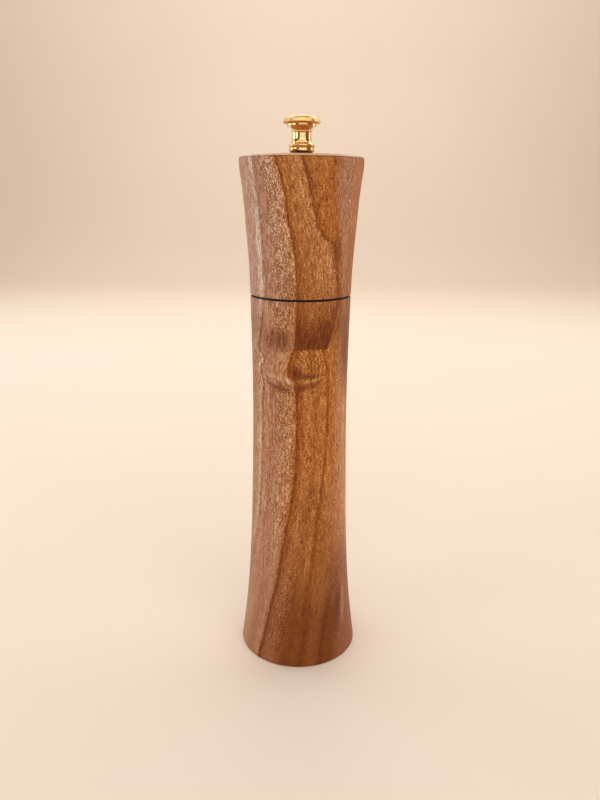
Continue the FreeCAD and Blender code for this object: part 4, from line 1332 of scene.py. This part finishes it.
@dataclass
class Mechanism:
    """Machined and moulded parts, taken from the frame and smoothed."""

    crisp_angle: float = 30.0
    merge_reach: float = 0.0005
    washer_relief: float = 0.03    # off the top of the spring's washer, which turns under the bridge
    nodes: tuple[str, ...] = (
        "finial_washer", "drive_plate", "drive_plate_screws", "glide_ring", "shaft", "spring_bridge",
        "spring_washer", "rotor", "thrust_washer", "rotor_clip", "stator", "crossbar",
        "crossbar_bush", "crossbar_screws",
    )

    def smooth_copy(self, node: str) -> bpy.types.Object:
        """Copy a node of the frame, join its loose faces and shade it smooth.

        Args:
            node: Name of the node.

        Returns:
            The copy, dressed and in the node's place.
        """
        piece = bpy.data.objects.new(f"{node}_finished", bpy.data.objects[node].data.copy())
        bpy.context.scene.collection.objects.link(piece)
        take_hold(piece)
        bpy.ops.object.mode_set(mode="EDIT")
        bpy.ops.mesh.select_all(action="SELECT")
        bpy.ops.mesh.remove_doubles(threshold=self.merge_reach * MM)
        bpy.ops.object.mode_set(mode="OBJECT")
        if node == "spring_washer":
            self.relieve(piece)
        return complete(piece, node, Finish[SUBPARTS[node]], self.crisp_angle)

    def relieve(self, piece: bpy.types.Object) -> None:
        """Thin a piece from above by the relief, so that it turns clear of what lies on it.

        Args:
            piece: Piece, already taken hold of, in object mode.
        """
        top = max(vertex.co.z for vertex in piece.data.vertices)
        mark_points(piece, lambda spot: spot.z > top - self.washer_relief * MM / 2)
        bpy.ops.transform.translate(value=(0, 0, -self.washer_relief * MM))
        bpy.ops.object.mode_set(mode="OBJECT")

    def build(self) -> list[bpy.types.Object]:
        """Make every smoothed part, and the spring afresh."""
        return [self.smooth_copy(node) for node in self.nodes] + [SpringCoil().build()]


# ---- studio ------------------------------------------------------------------------


@dataclass(frozen=True)
class Softbox:
    """A soft rectangular lamp.

    Attributes:
        name: Name of the lamp.
        place: Where it stands, in metres.
        size: Width and height, in metres.
        power: Watts.
        aim: Point that it faces, in metres.
        colour: sRGB hex colour of its light.
    """

    name: str
    place: Triple
    size: tuple[float, float]
    power: float
    aim: Triple = (0.0, 0.0, 0.13)
    colour: str = "#FFFFFF"

    def build(self) -> None:
        """Hang the lamp, turned towards its aim."""
        light = bpy.data.lights.new(self.name, "AREA")
        light.shape = "RECTANGLE"
        light.size, light.size_y = self.size
        light.energy = self.power
        light.color = srgb_to_linear(self.colour)[:3]
        lamp = bpy.data.objects.new(self.name, light)
        bpy.context.scene.collection.objects.link(lamp)
        way = Vector(self.aim) - Vector(self.place)
        turn = way.to_track_quat("-Z", "Y").to_matrix().to_4x4()
        lamp.matrix_world = Matrix.Translation(self.place) @ turn


@dataclass
class Studio:
    """Pale floor that curves up into a backdrop, soft lamps and the camera, in metres and degrees."""

    camera_place: Triple = (0.00012, -0.3424, 0.2355)
    camera_pitch: float = 16.17
    camera_roll: float = 0.45
    camera_lens: float = 31.5
    camera_nearest: float = 0.01
    floor_size: float = 6.0
    backdrop_distance: float = 1.6
    backdrop_round: float = 0.7
    backdrop_rise: float = 2.0
    room_shade: str = "#B88450"    # behind the camera
    room_light: str = "#F6E6D2"    # ahead of it
    room_change: Span = (-0.1, 0.9)  # of the way ahead
    room_strength: float = 0.4

    softboxes: tuple[Softbox, ...] = (
        Softbox("front", (0.29, -1.5, 0.9), (2.3, 1.4), 12.2),
        Softbox("above", (0.0, -0.5, 1.8), (2.6, 1.0), 10.5),
        Softbox("high_left", (-1.1, 0.65, 1.15), (0.9, 0.7), 2.6, colour="#EAF1FF"),
        Softbox("high_right", (1.1, 0.65, 1.15), (0.9, 0.7), 2.8, colour="#EAF1FF"),
        Softbox("left_front", (-1.16, -0.58, 0.45), (0.6, 0.4), 1.9, colour="#EAF1FF"),
        Softbox("left_back", (-1.2, 0.42, 0.45), (0.9, 0.4), 2.9, colour="#EAF1FF"),
        Softbox("right", (1.2, 0.39, 0.45), (0.66, 0.4), 1.5, colour="#EAF1FF"),
        Softbox("behind", (0.1, 1.15, 1.05), (1.5, 0.45), 3.0),
        Softbox("backdrop", (0.0, 0.8, 1.7), (2.2, 0.6), 18.0, (0.0, 2.1, 0.45)),
    )

    def floor(self) -> None:
        """Lay the floor and curve its far edge up into a backdrop."""
        clear_selection()
        bpy.ops.mesh.primitive_plane_add(size=self.floor_size, location=(0, 0, 0))
        floor = bpy.context.object
        floor.name = floor.data.name = "studio_floor"
        bpy.ops.object.mode_set(mode="EDIT")
        bpy.ops.mesh.bisect(plane_co=(0, self.backdrop_distance, 0), plane_no=(0, 1, 0), clear_outer=True)
        bpy.ops.mesh.select_all(action="DESELECT")
        bpy.ops.object.mode_set(mode="OBJECT")
        for edge in floor.data.edges:
            ends = [floor.data.vertices[index].co.y for index in edge.vertices]
            edge.select = min(ends) > self.backdrop_distance - MM
        bpy.ops.object.mode_set(mode="EDIT")
        bpy.ops.mesh.select_mode(type="EDGE")
        bpy.ops.mesh.spin(steps=16, angle=-math.pi / 2,
                          center=(0, self.backdrop_distance, self.backdrop_round), axis=(1, 0, 0))
        bpy.ops.mesh.extrude_region_move(TRANSFORM_OT_translate={"value": (0, 0, self.backdrop_rise)})
        bpy.ops.object.mode_set(mode="OBJECT")
        smooth_edges(floor, angle=60)
        floor.data.materials.append(MattLaminate("cream_laminate", "#F4E6D3", "#F7EAD8").material())

    def world(self) -> None:
        """Fill the room with a soft light, paler ahead of the camera than behind it."""
        world = bpy.data.worlds.new("studio_room")
        bpy.context.scene.world = world
        world.use_nodes = True
        world.node_tree.nodes.clear()
        add = partial(add_node, world.node_tree)
        way = add("SeparateXYZ", {0: add("TexCoord").outputs["Generated"]})
        share = add("MapRange", {"Value": way.outputs[1], 1: self.room_change[0], 2: self.room_change[1]})
        shade, light = srgb_to_linear(self.room_shade), srgb_to_linear(self.room_light)
        colour = add("Mix", {0: share, 6: shade, 7: light}, data_type="RGBA").outputs[2]
        add("OutputWorld", {0: add("Background", {"Color": colour, "Strength": self.room_strength})})

    def camera(self) -> None:
        """Stand the camera in front of the mill, a little above it and looking down."""
        lens = bpy.data.cameras.new("camera")
        lens.lens = self.camera_lens
        lens.clip_start = self.camera_nearest
        camera = bpy.data.objects.new("camera", lens)
        bpy.context.scene.collection.objects.link(camera)
        tilt = Matrix.Rotation(math.radians(90 - self.camera_pitch), 4, "X")
        roll = Matrix.Rotation(math.radians(self.camera_roll), 4, "Z")
        camera.matrix_world = Matrix.Translation(self.camera_place) @ tilt @ roll
        bpy.context.scene.camera = camera

    def build(self) -> None:
        """Set up the whole studio."""
        self.floor()
        self.world()
        self.camera()
        for softbox in self.softboxes:
            softbox.build()
        bpy.context.scene.view_settings.view_transform = "Standard"


# ---- all together ------------------------------------------------------------------


def main() -> None:
    """Build the mill and the studio, and log how many faces each piece has."""
    logging.basicConfig(level=logging.INFO, format="%(name)s: %(message)s", stream=sys.stdout)
    made = [MillBody().build(), MillHead().build(), FinialNut().build()] + Mechanism().build()
    for piece in made:
        log.info("%s: %d faces", piece.name, len(piece.data.polygons))
    Studio().build()
    clear_selection()


if __name__ == "__main__":
    main()
